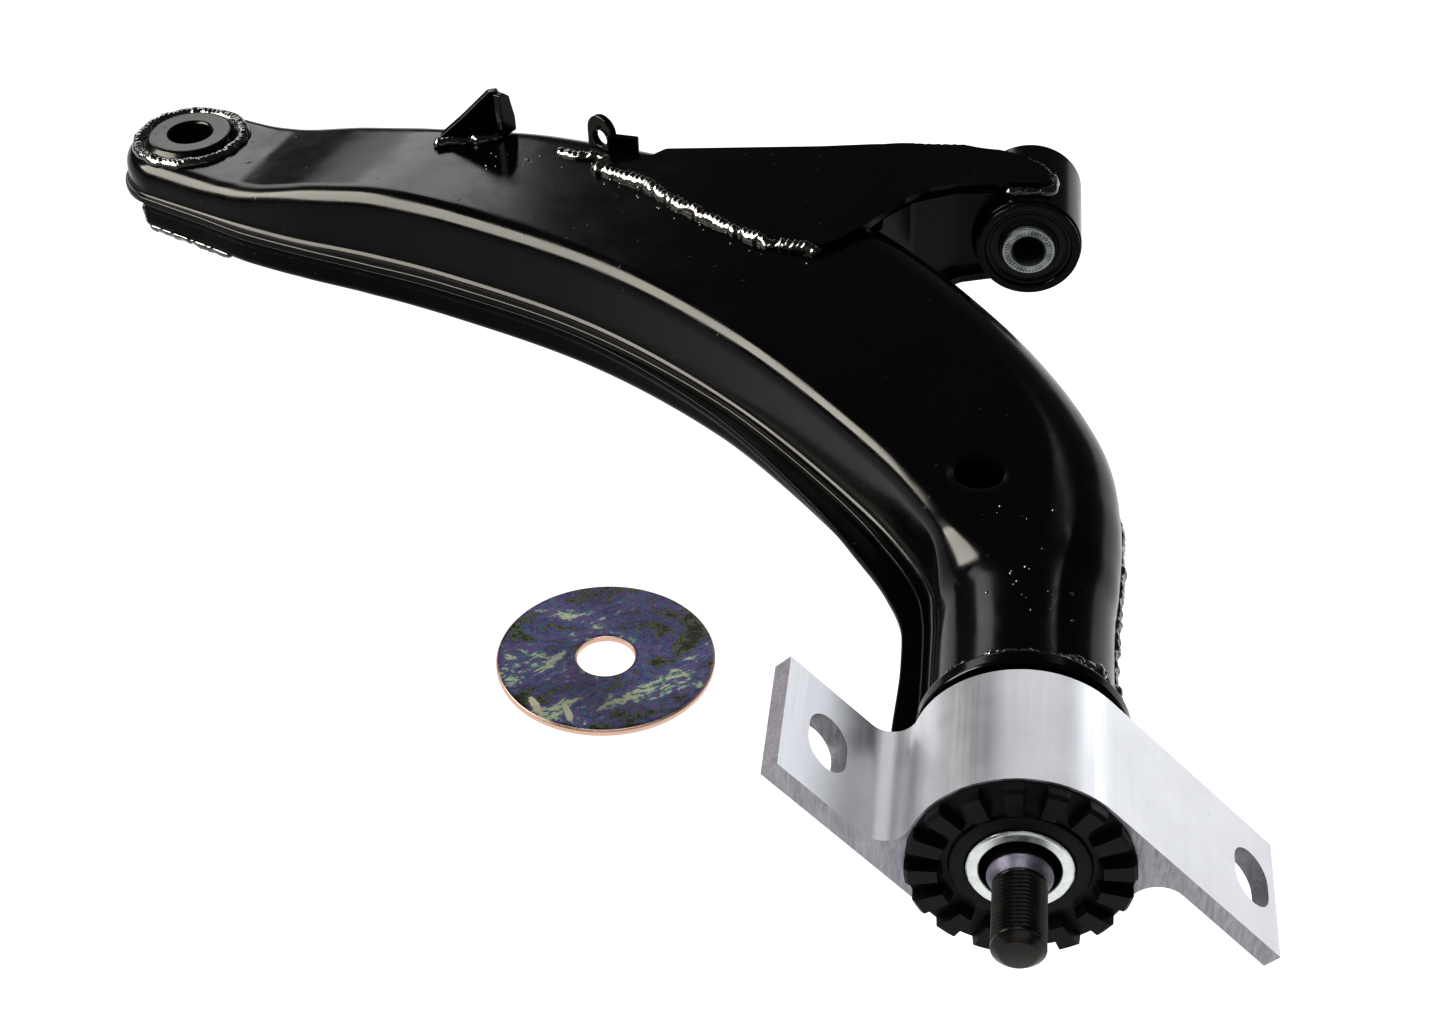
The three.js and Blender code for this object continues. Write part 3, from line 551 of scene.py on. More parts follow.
# Outside and inside of the upper shell: lip, hollow fillet, wall, edge arc, flat skin, roll arc, wall.
def upperShell():
    v = shells
    t = np.linspace(0, 1, v["rowsPerStation"] * (len(stations) - 1) + 1)
    at = armAt(t)
    rows = len(t)
    zero = np.zeros((rows, 1))
    seam = zero + v["seam"]
    rim = seam + v["lipThick"]
    corner = np.minimum(v["lipCorner"], 0.5 * at["lip"])
    hollow = np.minimum(v["lipFillet"], 0.6 * at["lip"])
    wallTop = at["top"] - at["edge"]
    left = [
        (-at["lip"], seam),
        lineColumns(-at["lip"], seam, -at["lip"], rim - corner, 1),
        arcColumns(-at["lip"] + corner, rim - corner, corner, 180, 90, 5),
        lineColumns(-at["lip"] + corner, rim, -hollow, rim, 2),
        arcColumns(-hollow, rim + hollow, hollow, -90, 0, 7),
        lineColumns(zero, rim + hollow, zero, np.maximum(wallTop, rim + hollow), 5),
    ]
    leftA, leftZ = joinColumns(left, rows)
    arcA, arcZ = arcColumns(at["edge"], wallTop, at["edge"], 180, 90, v["arcSteps"])
    arcZ = np.maximum(arcZ, rim + hollow)
    rollFrom, rollLevel = at["width"] - at["roll"], at["top"] - at["roll"]
    flat = lineColumns(at["edge"], at["top"], rollFrom, at["top"], v["flatSteps"])
    rollA, rollZ = arcColumns(rollFrom, rollLevel, at["roll"], 90, 0, v["arcSteps"])
    share = (leftZ - seam) / (wallTop - seam)
    share = np.clip(share, 0, 1)[:, ::-1]
    rightZ = seam + share * (rollLevel - seam)
    rightA = at["width"] + 0 * rightZ
    columns = [(leftA, leftZ), (arcA, arcZ), flat, (rollA, rollZ), (rightA, rightZ)]
    outer = inPlan(at, *joinColumns(columns, rows))
    sheet = v["sheet"]
    inArcA, inArcZ = arcColumns(at["edge"], wallTop, at["edge"] - sheet, 180, 90, v["arcSteps"])
    ceiling = at["top"] - sheet
    inFlat = lineColumns(at["edge"], ceiling, rollFrom, ceiling, v["flatSteps"])
    inRoll = arcColumns(rollFrom, rollLevel, at["roll"] - sheet, 90, 0, v["arcSteps"])
    inLeftZ = seam + share[:, ::-1] * (wallTop - seam)
    inner = inPlan(at, *joinColumns([
        (sheet + 0 * inLeftZ, inLeftZ), (inArcA, inArcZ), inFlat, inRoll, (rightA - sheet, rightZ)], rows))
    middle = leftA.shape[1] + v["arcSteps"] + v["flatSteps"] // 2
    outer, inner = (fanRound(side, middle, v["bossCentre"], v["fanRows"]) for side in (outer, inner))
    holes = [(v["bossCentre"], v["bossGap"], 0.0), (v["drainCentre"], v["drainRadius"], v["drainRoll"])]
    return shellParts(outer, inner, holes, skinFrom=leftA.shape[1] + 7, startStrip=True, stopStrip=False)


# Carries the last row on round the boss: the left half turns one way and the right half the other
# until they meet a quarter turn on. What stands out past the right wall's radius fades as the turn squared.
def fanRound(side, middle, centre, count):
    offset = side[-1].copy()
    offset[:, :2] -= centre
    wall = np.linalg.norm(side[-1, -1, :2] - centre)
    angle = np.radians(np.linspace(0, 90, count + 1)[1:])[:, None]
    reach = np.linalg.norm(offset[:, :2], axis=1)[None, :]
    fade = 1 - (angle / angle[-1]) ** 2
    trim = np.where(reach > wall, (wall + (reach - wall) * fade) / np.maximum(reach, 1e-6), 1.0)
    turn = np.where(np.arange(side.shape[1])[None, :] <= middle, -angle, angle)
    x = offset[None, :, 0] * np.cos(turn) - offset[None, :, 1] * np.sin(turn)
    y = offset[None, :, 0] * np.sin(turn) + offset[None, :, 1] * np.cos(turn)
    z = np.broadcast_to(offset[None, :, 2], x.shape)
    return np.concatenate([side, np.stack([x * trim + centre[0], y * trim + centre[1], z], axis=-1)])


# Two matching grids, outside and inside, joined along sides, at their ends and round their holes.
# A hole takes out the cells within its radius and pulls the points on its rim onto the circle.
def shellParts(outer, inner, holes, skinFrom, startStrip, stopStrip):
    rows, cols = outer.shape[:2]
    gone = np.zeros((rows - 1, cols - 1), bool)
    outer, inner = outer.copy(), inner.copy()
    skin = (np.arange(cols - 1) >= skinFrom) & (np.arange(cols - 1) < cols - 1 - skinFrom)
    for centre, radius, rollDown in holes:
        middle = (outer[:-1, :-1] + outer[1:, :-1] + outer[1:, 1:] + outer[:-1, 1:]) / 4
        away = np.linalg.norm(middle[..., :2] - centre, axis=-1)
        hole = (away < radius) & skin[None, :]
        touch = np.zeros((rows, cols), int)
        count = np.zeros((rows, cols), int)
        for i, j in ((0, 0), (0, 1), (1, 0), (1, 1)):
            touch[i:rows - 1 + i, j:cols - 1 + j] += hole
            count[i:rows - 1 + i, j:cols - 1 + j] += 1
        rimPoints = (touch > 0) & (touch < count)
        for side in (outer, inner):
            offset = side[..., :2] - centre
            reach = np.linalg.norm(offset, axis=-1)
            snapped = centre + offset / np.maximum(reach, 1e-6)[..., None] * radius
            side[..., :2] = np.where(rimPoints[..., None], snapped, side[..., :2])
            reach = np.where(rimPoints, radius, reach)
            past = np.maximum(reach, radius) - radius
            side[..., 2] -= rollDown * np.exp(-(past / 1.3) ** 2) * (side[..., 2] > 20)
        gone |= hole
    quads = gridQuads(rows, cols)[~gone.reshape(-1)]
    points = np.concatenate([outer.reshape(-1, 3), inner.reshape(-1, 3)])
    shift = rows * cols
    index = np.arange(shift).reshape(rows, cols)
    edges = [np.stack([index[:-1, 0], index[1:, 0]], -1), np.stack([index[:-1, -1], index[1:, -1]], -1)]
    if startStrip:
        edges.append(np.stack([index[0, :-1], index[0, 1:]], -1)[~gone[0]])
    if stopStrip:
        edges.append(np.stack([index[-1, :-1], index[-1, 1:]], -1)[~gone[-1]])
    between = gone[:, :-1] != gone[:, 1:]
    edges.append(np.stack([index[:-1, 1:-1][between], index[1:, 1:-1][between]], -1))
    between = gone[:-1] != gone[1:]
    edges.append(np.stack([index[1:-1, :-1][between], index[1:-1, 1:][between]], -1))
    edges = np.concatenate(edges)
    walls = np.stack([edges[:, 0], edges[:, 1], edges[:, 1] + shift, edges[:, 0] + shift], -1)
    return [(points, np.concatenate([quads, quads + shift, walls]))]


# Outside and inside of the lower pan: flared rim, wall, heel arc, floor, second heel, wall.
def lowerShell():
    v = shells
    t = np.linspace(0, 1, v["rowsPerStation"] * (len(stations) - 1) + 1)
    at = armAt(t)
    rows = len(t)
    zero = np.zeros((rows, 1))
    rim = zero + v["seam"] - v["clearance"]
    reach = -at["lip"] - at["flare"]
    wall = -at["lip"] - 0.35 * at["flare"]
    sheet = v["sheet"]
    topCorner = 0.7
    lowCorner = np.minimum(0.9, 0.3 * at["flare"] + 0.02)
    kneeZ = rim - sheet - 0.5 * at["flare"] - 0.2
    left = [
        arcColumns(reach + topCorner, rim - topCorner, topCorner, 90, 180, 5),
        arcColumns(reach + lowCorner, rim - sheet + lowCorner, lowCorner, 180, 270, 5),
        lineColumns(reach + lowCorner, rim - sheet, wall, kneeZ, 4),
        lineColumns(wall, kneeZ, wall, at["base"] + at["heel"], 6),
    ]
    leftA, leftZ = joinColumns(left, rows)
    heelA = wall + at["heel"]
    farA, farZ = at["width"] - at["heel"] - 2, at["base"] + at["heel"] + 2
    outer = inPlan(at, *joinColumns([
        (leftA, leftZ),
        arcColumns(heelA, at["base"] + at["heel"], at["heel"], 180, 270, 11),
        lineColumns(heelA, at["base"], farA, at["base"], 25),
        arcColumns(farA, farZ, at["heel"] + 2, 270, 360, 11),
        lineColumns(at["width"], farZ, at["width"], rim, 6),
        (at["width"], rim)], rows))
    down = np.linspace(0, 1, leftA.shape[1])[None, :]
    inner = inPlan(at, *joinColumns([
        (wall + sheet + 0 * down, rim + (at["base"] + at["heel"] - rim) * down),
        arcColumns(heelA, at["base"] + at["heel"], at["heel"] - sheet, 180, 270, 11),
        lineColumns(heelA, at["base"] + sheet, farA, at["base"] + sheet, 25),
        arcColumns(farA, farZ, at["heel"] + 2 - sheet, 270, 360, 11),
        lineColumns(at["width"] - sheet, farZ, at["width"] - sheet, rim, 6),
        (at["width"] - sheet, rim)], rows))
    holes = [(v["bossCentre"], v["bossGap"] - 0.2, 0.0)]
    return shellParts(outer, inner, holes, skinFrom=leftA.shape[1] + 4, startStrip=True, stopStrip=True)


makePiece("upper_arm_shell", upperShell(), paint, "arm", ["upper_shell"], sharp=50)
makePiece("lower_arm_pan", lowerShell(), panPaint, "arm", ["lower_shell"], sharp=50)
print("shells made")


boss = {"radius": 19.5, "face": 17.4, "hole": 8.8, "top": 15.5, "bottom": -18.4}


# Turned profile with a slightly dished face, a deep outer chamfer and a countersunk bore.
def bossParts():
    v = boss
    profile = roundCorners([
        [v["hole"], v["top"] - 0.9], [v["hole"] + 0.9, v["top"] - 0.15], [v["face"] - 1.2, v["top"]],
        [v["face"], v["top"] - 0.25], [v["radius"], v["top"] - 2.0], [v["radius"], v["bottom"] + 1.2],
        [v["radius"] - 1.2, v["bottom"]], [v["hole"] + 0.4, v["bottom"]],
        [v["hole"] - 0.6, v["bottom"] + 1.0],
    ], 0.5)
    return [turnedPart(profile, shells["bossCentre"], 96, upright=True)]


makePiece("ball_joint_seat_boss", bossParts(), paint, "arm", ["ball_joint_boss"])


# A bead: half-round section carried along a path and tapered at its ends. Overlapping ripples are a
# saw wave along the path, bent back at the sides, and seeded waves make it uneven.
def beadPart(path, out, up, width, height, seed, ripple=0.16, pitch=2.1, uneven=0.2, closed=False):
    path, out, up = (np.asarray(a, float) for a in (path, out, up))
    steps = np.linalg.norm(np.diff(path, axis=0), axis=1)
    s = np.concatenate([[0], np.cumsum(steps)])[:, None]
    angle = np.linspace(0, 2 * math.pi, 22, endpoint=False)[None, :]
    crown = np.maximum(np.sin(angle), 0)
    phase = (s + 0.9 * np.cos(angle) ** 2 * width / 2 + 0.6 * wander(s, pitch * 1.6, seed)) / pitch
    wave = 1 - (phase - np.floor(phase)) ** 1.6
    lump = wander(s, 4.3, seed + 1) * 0.6 + wander(s, 1.9, seed + 2) * 0.4
    shape = 1 + ripple * (wave - 0.5) * crown + uneven * lump
    taper = 1.0
    if not closed:
        reach = np.minimum(s, s[-1] - s) / (0.6 * width)
        taper = np.sqrt(np.clip(1 - (1 - np.clip(reach, 0, 1)) ** 2, 0.0, 1))
    sideways = np.cos(angle) * width / 2 * (1 + uneven * 0.7 * wander(s, 3.1, seed + 3)) * taper
    rise = np.where(np.sin(angle) > 0, np.sin(angle) * height * shape, np.sin(angle) * 0.6) * taper
    drift = 0.35 * wander(s, 5.2, seed + 4)
    spread = out[:, None, :] * (sideways + drift)[..., None]
    points = path[:, None, :] + spread + up[:, None, :] * rise[..., None]
    return gridPart(points, closeRows=closed, closeCols=True)


# Side and up directions of a bead that lies on a level face.
def levelBead(points, z, width, height, seed, offset=0.0, closed=False, **more):
    path = evenPath(points, 0.45, 1.5)
    ahead = np.gradient(path, axis=0)
    ahead /= np.linalg.norm(ahead, axis=1, keepdims=True)
    out = np.stack([ahead[:, 1], -ahead[:, 0], 0 * ahead[:, 0]], -1)
    up = np.zeros_like(out)
    up[:, 2] = 1
    place = np.concatenate([path, np.full((len(path), 1), z)], axis=1) + out * offset
    return beadPart(place, out, up, width, height, seed, closed=closed, **more)


# A bead round an axis along Z (upright) or Y.
def ringBead(centre, radius, level, start, stop, width, height, seed, lean, upright, **more):
    angle = np.radians(np.arange(start, stop, 0.45 / radius * 57.3))  # steps of 0.45 mm, in degrees
    whole = stop - start >= 360
    a, b, zero = np.sin(angle), np.cos(angle), 0 * angle
    radial = np.stack([a, b, zero] if upright else [a, zero, b], -1)
    axis = np.array([0, 0, 1.0] if upright else [0, 1.0, 0])
    middle = np.array([centre[0], centre[1], level] if upright else [centre[0], level, centre[1]])
    up = axis[None, :] * math.cos(lean) + radial * math.sin(lean)
    out = radial * math.cos(lean) - axis[None, :] * math.sin(lean)
    return beadPart(middle + radial * radius, out, up, width, height, seed, closed=whole, **more)


plateOutline = np.array([
    [-174, 341], [-162.5, 337], [-149, 328], [-131, 311], [-111, 295.5], [-98, 287.5], [-86, 285],
    [-78, 282.5], [-73, 286.5], [-61.5, 299.5], [-49.5, 318.5], [-40, 330], [-29, 338], [-18, 341.5],
    [4, 341.8], [6.2, 344.5], [5.2, 351], [1.5, 357], [-6, 363.5], [-14, 367.2], [-28, 368.5],
    [-43.5, 363], [-60, 358.5], [-85, 355.6], [-146, 351.6], [-151, 346.2], [-158, 345.6], [-166, 346.4]])
welds = {
    "skin": 28.0,
    "outerLug": [[-242, 357.6], [-228, 360.6], [-214.5, 364]],
    "innerLug": [[-190, 353.5], [-182, 350.5], [-174, 350.0], [-166, 347.5]],
    "tube": [[-12, 341.4], [4, 341.4], [6.6, 344.4], [5.6, 351], [2, 357], [-5, 363.5]],
}


# Along the outer wall, at the seam of the two shells, over the half nearest the neck.
def seamBead():
    t = np.linspace(0.02, 0.5, 420)
    at = armAt(t)
    wall = at["left"] + at["across"] * at["width"]
    path = np.concatenate([wall, np.full((len(t), 1), shells["seam"] - 0.4)], axis=1)
    out = np.zeros_like(path)
    out[:, 2] = 1
    up = np.concatenate([at["across"], np.zeros((len(t), 1))], axis=1)
    return beadPart(path, out, up, 6.2, 1.5, 11, ripple=0.34, pitch=2.8, uneven=0.55)


# The cut edge of the pan at the boss, followed down the left side and under.
def panEndBead():
    end = armAt(np.array([1.0]))
    across, heel, base = end["across"][0], end["heel"][0, 0], end["base"][0, 0]
    down = np.array([[0.0, -5.0], [0.0, base + heel]])
    angle = np.radians(np.linspace(180, 262, 14))
    bend = np.stack([heel + heel * np.cos(angle), base + heel + heel * np.sin(angle)], -1)
    route = evenPath(np.vstack([down, bend[1:]]), 0.4, 0.8)
    onward = np.array([-across[1], across[0]])
    plan = end["left"][0] + route[:, :1] * across + onward * 1.2
    path = np.concatenate([plan, route[:, 1:]], axis=1)
    ahead = np.gradient(route, axis=0)
    ahead /= np.linalg.norm(ahead, axis=1, keepdims=True)
    outward = np.concatenate([ahead[:, 1:] * across, -ahead[:, :1]], axis=1)
    out = np.broadcast_to([onward[0], onward[1], 0.0], path.shape)
    return beadPart(path, out, outward, 5.2, 1.9, 17, uneven=0.4)


# The same weld run on along the pan's lower left edge, back towards the neck.
def panEdgeBead():
    count = 130
    at = armAt(np.linspace(1.0, 0.875, count))
    lean = math.sqrt(0.5)
    across = np.concatenate([at["across"], np.zeros((count, 1))], axis=1)
    middle = 0.29 * at["heel"]  # the middle of the heel's arc, in from the wall and up from the base
    inset = middle - at["lip"]
    path = np.concatenate([at["left"] + at["across"] * inset, at["base"] + middle], axis=1)
    level = np.array([0.0, 0.0, 1.0])
    out, up = lean * (level - across), -lean * (level + across)
    return beadPart(path, out, up, 4.6, 1.5, 19, ripple=0.3, uneven=0.45)


def weldPiece(name, parts, node):
    makePiece(name, parts, weldPaint, "arm", [node], sharp=80)


weldPiece("boss_ring_bead", [ringBead(shells["bossCentre"], 21.9, 12.3, 0, 360, 5.6, 2.5, 21, 0.0, True,
                                      ripple=0.2, uneven=0.26)], "boss_weld")
weldPiece("pan_end_bead", [panEndBead(), panEdgeBead()], "lower_end_weld")
weldPiece("gusset_bead", [levelBead(plateOutline[:8], welds["skin"], 5.4, 3.1, 31, 1.7, ripple=0.34,
                                    pitch=2.4, uneven=0.34)], "gusset_weld")
weldPiece("seam_bead", [seamBead()], "seam_weld")
weldPiece("neck_bead", [
    ringBead((0, 0), 28.5, 57.0, -62, 96, 5.4, 2.6, 41, 0.9, False, ripple=0.3, uneven=0.45),
    ringBead((0, 0), 28.2, 60.5, 22, 92, 6.4, 2.6, 43, 1.2, False, ripple=0.4, pitch=3.4, uneven=0.7),
], "neck_weld")
weldPiece("saddle_bead", [levelBead(welds["tube"], 19.8, 4.4, 3.0, 51, 0.9, uneven=0.3)], "tube_weld")
weldPiece("outer_lug_bead", [levelBead(welds["outerLug"], welds["skin"], 5.0, 2.6, 61, 1.5, uneven=0.34)],
          "outer_lug_weld")
weldPiece("inner_lug_bead", [levelBead(welds["innerLug"], welds["skin"], 4.6, 2.5, 71, 1.3, uneven=0.34)],
          "inner_lug_weld")


# Small drops thrown off by the welds: one dome of a few faces, placed many times at seeded spots.
def spatterParts():
    rng = np.random.default_rng(5)
    round_, tilt = np.meshgrid(np.linspace(0, 2 * math.pi, 9)[:-1], np.radians([0, 35, 65, 90]))
    dome = np.stack([np.sin(tilt) * np.cos(round_), np.sin(tilt) * np.sin(round_), np.cos(tilt)], -1)
    foot = dome[-1:] * [1, 1, 0] + [0, 0, -0.5]
    dome = np.concatenate([dome, foot, foot[:1] * 0 + [0, 0, -0.5]])
    gusset = evenPath(plateOutline[1:8], 1.0)
    spots = [gusset[rng.integers(0, len(gusset), 26)] + rng.normal(0, 3.0, (26, 2)) + [-3.0, -5.5]]
    spots.append(np.array([-196, 346]) + rng.normal(0, [16, 4.5], (16, 2)))
    spots.append(np.array([4, 98]) + rng.normal(0, [9, 17], (30, 2)))
    spots = np.concatenate(spots)
    height = np.where(spots[:, 1] < 125, np.sqrt(np.maximum(28.0 ** 2 - spots[:, 0] ** 2, 1)), 28.0)
    size = rng.uniform(0.25, 0.75, len(spots))[:, None, None, None]
    centre = np.concatenate([spots, height[:, None]], axis=1)[:, None, None, :]
    drops = centre + dome[None] * size * [1, 1, 0.7]
    quads = gridQuads(*dome.shape[:2], closeCols=True)
    each = dome.shape[0] * dome.shape[1]
    start = (np.arange(len(spots)) * each)[:, None, None]
    return [(drops.reshape(-1, 3), (quads[None] + start).reshape(-1, 4))]


makePiece("weld_spatter", spatterParts(), weldPaint, "arm", sharp=80)
print("welds made")


frontArm = {
    "plateTop": 31.0, "plateThick": 2.7, "saddleTop": 24.2, "striation": 0.12,
    "near": [[-70, 290], [-60, 302], [-46.5, 321], [-30, 334.5], [-14, 339]],
    "far": [[-110, 352.5], [-60, 355.5], [-44, 360], [-28, 365.4], [-14, 364]],
    "webBottom": -12.0, "floorTop": -9.0, "ledgeBottom": -15.0, "ledge": 4.5, "sheet": 3.0,
    "insideArm": -57.0,
}


# Top of the plate: level on the shell, then down a bend to the saddle over the tube.
def plateHeight(x):
    v = frontArm
    knots = [-200, -62, -52, -24, -16, 30]
    high, low = v["plateTop"], v["saddleTop"]
    levels = [high, high, high - 0.6, low + 0.5, low, low]
    spread = np.linspace(-4, 4, 9)
    return np.interp(np.asarray(x)[..., None] + spread, knots, levels).mean(axis=-1)


# Ruled between the near and far edges of the outline: x runs one way, near to far the other.
def platePart():
    v = frontArm
    near = evenPath(plateOutline[:16], 0.4, 1.2)
    far = evenPath(np.vstack([plateOutline[:1], plateOutline[:14:-1]]), 0.4, 1.2)
    spans = ((-174, 6.2, 230), (4, 6.2, 12), (-64, -14, 90))  # whole plate, its rounded end, its bend
    x = np.unique(np.concatenate([np.linspace(*span) for span in spans]))
    nearY = np.interp(x, near[:, 0], near[:, 1])
    farY = np.interp(x, far[:, 0], far[:, 1])
    farY = np.maximum(farY, nearY)
    w = np.linspace(0, 1, 25)[None, :]
    y = nearY[:, None] + (farY - nearY)[:, None] * w
    inBend = np.exp(-((x + 38) / 11) ** 2)
    ridges = v["striation"] * inBend * (np.sin(x * 1.9) + 0.6 * np.sin(x * 3.1 + 1))
    top = (plateHeight(x) + ridges)[:, None] + 0 * y
    under = (plateHeight(x) - v["plateThick"])[:, None] + 0 * y
    across = np.broadcast_to(x[:, None], y.shape)
    upper, lower = np.stack([across, y, top], -1), np.stack([across, y, under], -1)
    sides = [stripPart(upper[:, k], lower[:, k]) for k in (0, -1)]
    ends = [stripPart(upper[k], lower[k]) for k in (0, -1)]
    return [gridPart(upper), gridPart(lower)] + sides + ends


# A folded channel: one closed section of near web with its ledge, floor and far web, carried from
# inside the arm to the tube. Both webs follow their own line, so the section widens as it goes.
def channelParts():
    v = frontArm
    near = evenPath(v["near"], 0.8, 2.4)
    count = len(near)
    far = evenPath(v["far"], 0.8, 2.4)
    far = far[np.linspace(0, len(far) - 1, count).astype(int)]
    sides = []
    for path, hand in ((near, 1), (far, -1)):
        ahead = np.gradient(path, axis=0)
        ahead /= np.linalg.norm(ahead, axis=1, keepdims=True)
        inward = hand * np.stack([-ahead[:, 1], ahead[:, 0]], -1)
        roof = plateHeight(path[:, 0]) - v["plateThick"] - 0.05
        roof = np.where(path[:, 0] < v["insideArm"], 24.0, roof)
        sides.append((path, inward, roof))
    fold = 1.4
    down = np.linspace(0, 1, 7)

    def column(side, offset, height):
        path, inward, _ = side
        height = np.broadcast_to(height, (count,))
        return np.concatenate([path + inward * np.reshape(offset, (-1, 1)), height[:, None]], axis=1)

    nearSide, farSide = sides
    foot = v["webBottom"] + fold
    columns = [column(nearSide, 0.0, nearSide[2] + (foot - nearSide[2]) * w) for w in down]
    for turn in np.radians([20, 45, 70, 90]):
        columns.append(column(nearSide, -fold * (1 - math.cos(turn)), foot - fold * math.sin(turn)))
    columns += [column(nearSide, -v["ledge"], v[edge]) for edge in ("webBottom", "ledgeBottom")]
    columns.append(column(nearSide, 0.0, v["ledgeBottom"]))
    columns.append(column(farSide, 2.0, v["ledgeBottom"]))
    columns.append(column(farSide, 0.0, v["ledgeBottom"] + 2.0))
    columns.append(column(farSide, 0.0, farSide[2]))
    columns += [column(farSide, v["sheet"], farSide[2]), column(farSide, v["sheet"], v["floorTop"])]
    columns += [column(nearSide, v["sheet"], v["floorTop"]), column(nearSide, v["sheet"], nearSide[2])]
    grid = np.stack(columns, axis=1)
    walls = gridPart(grid, closeCols=True)
    # each end is closed by pairing the outside of the section with its inside
    ends = []
    for k in (0, -1):
        loop = grid[k]
        total = len(loop)
        outside, inside = loop[:total - 4], loop[total - 4:][::-1]
        pick = np.round(np.linspace(0, 3, len(outside))).astype(int)
        ends.append(stripPart(outside, inside[pick]))
    return [walls] + ends


frontBush = {
    "x": -1.7, "near": 334.5, "far": 378.0, "tube": 20.75, "shell": 19.0, "sleeve": 10.3, "bore": 6.15,
    "ridges": 44,
}


# Short tube with rounded rims.
def frontTubeParts():
    v = frontBush
    inner = v["shell"] + 0.3
    profile = roundCorners([
        [inner, v["near"]], [v["tube"], v["near"]], [v["tube"], v["far"]], [inner, v["far"]]], 0.5)
    return [turnedPart(profile, (v["x"], 0), 120)]


# Pressed sleeve with its flared lip at the near end.
def frontShellParts():
    v = frontBush
    lip = v["near"] - 2.5
    profile = roundCorners([
        [v["shell"] - 2, lip + 0.4], [v["shell"] - 0.6, lip], [v["shell"] + 1.2, lip],
        [v["shell"] + 1.2, v["near"] - 0.3], [v["shell"], v["near"] - 0.3], [v["shell"], v["far"] + 2],
        [v["shell"] - 2, v["far"] + 2]], 0.45)
    return [turnedPart(profile, (v["x"], 0), 120)]


# Rubber between the sleeves: each end face has a hollow ring between two raised beads.
def frontRubberParts():
    v = frontBush
    near, far = v["near"] - 2, v["far"] + 1.5
    outer, inner = v["shell"] - 2.1, v["sleeve"] + 0.1
    face = [[inner, near + 0.4], [inner + 0.8, near + 0.2], [inner + 1.6, near + 1.5],
            [outer - 2.4, near + 1.7], [outer - 1.0, near + 0.5], [outer, near + 0.7]]
    back = [[outer, far - 0.6], [outer - 2, far - 1.4], [inner + 2, far - 1.4], [inner, far - 0.6]]
    return [turnedPart(roundCorners(face + back, 0.5), (v["x"], 0), 96)]


# Inner sleeve: its near face is knurled, the height a folded sine of the angle.
def frontSleeveParts():
    v = frontBush
    start, stop = v["near"] - 4, v["far"] + 4
    hole, rim = v["bore"], v["sleeve"]
    radii = np.array([hole, hole + 0.5, hole + 0.9, hole + 1.3, 9.2, 9.6, rim - 0.3,
                      rim, rim, rim - 0.4, hole + 0.4, hole])
    along = np.array([start + 0.6, start + 0.15, start + 0.1, start, start, start + 0.1, start + 0.15,
                      start + 0.5, stop - 0.4, stop, stop, stop - 0.4])
    ridged = np.array([0, 0, 0, 1, 1, 0, 0, 0, 0, 0, 0, 0.0])
    angle = np.linspace(0, 2 * math.pi, 352, endpoint=False)[:, None]
    uneven = 1 + 0.4 * np.sin(5 * angle) * np.sin(3 * angle + 1)
    tooth = 0.45 * np.abs(np.sin(v["ridges"] / 2 * angle)) * uneven
    y = along[None, :] + tooth * ridged[None, :]
    x = v["x"] + radii[None, :] * np.sin(angle)
    z = radii[None, :] * np.cos(angle)
    grid = np.stack([x, y, z], -1)
    # the bore and its chamfered ends take the second finish, near-black as painted shade
    bore = np.concatenate([grid[:, 10:], grid[:, :3]], axis=1)
    return [gridPart(grid[:, 2:11], closeRows=True), (*gridPart(bore, closeRows=True), 1)]


makePiece("front_arm_top_plate", platePart(), paint, "arm", ["front_arm_plate"],
          sharp=45, bevel=0.7)
makePiece("front_arm_folded_web", channelParts(), paint, "arm", ["front_arm_channel"],
          sharp=45)
makePiece("front_tube", frontTubeParts(), paint, "arm", ["front_bush_tube"])
makePiece("front_outer_sleeve", frontShellParts(), paint, "arm", ["front_bush_shell"])
makePiece("front_rubber_ring", frontRubberParts(), rubber, "arm", ["front_bush_rubber"])
makePiece("front_inner_sleeve", frontSleeveParts(), [dullZinc, boreZincPaintedShade], "front_sleeve",
          ["front_bush_sleeve"], sharp=60)
print("front arm made")


# An upright plate: outline in [along, height], thickness to one side, turned in plan and set down at a spot.
# With a hole the face is ruled from the hole's circle out to the outline along rays from its centre.
def uprightPlate(outline, thickness, turn, spot, hole=None):
    outline = evenPath(np.vstack([outline, outline[:1]]), 0.8)[:-1]
    if hole is None:
        inner = np.broadcast_to(outline.mean(axis=0), outline.shape)
    else:
        offset = outline - hole[:2]
        inner = np.asarray(hole[:2]) + offset / np.linalg.norm(offset, axis=1, keepdims=True) * hole[2]
    cosine, sine = math.cos(math.radians(turn)), math.sin(math.radians(turn))

    def stand(flat, depth):
        x = spot[0] + flat[:, 0] * cosine - depth * sine
        y = spot[1] + flat[:, 0] * sine + depth * cosine
        return np.stack([x, y, flat[:, 1]], -1)

    front, back = stand(outline, 0.0), stand(outline, thickness)
    innerFront, innerBack = stand(inner, 0.0), stand(inner, thickness)
    lines = [(front, innerFront), (back, innerBack), (front, back)]
    parts = [stripPart(a, b, True) for a, b in lines]
    if hole is not None:
        parts.append(stripPart(innerFront, innerBack, True))
    return parts


# A sloping face with a wing folded back from its tall end.
def outerLugParts():
    face = [[0, 28], [25, 28], [26, 45], [24.5, 47.6], [21, 47.6], [9, 37], [2, 31.5], [0, 30]]
    wing = [[0, 28], [8.5, 28], [8.5, 34], [6, 44.5], [3, 47], [0, 47]]
    return uprightPlate(face, 3.2, 14, (-239, 359.6)) + uprightPlate(wing, 3.2, 62, (-213.8, 362.6))


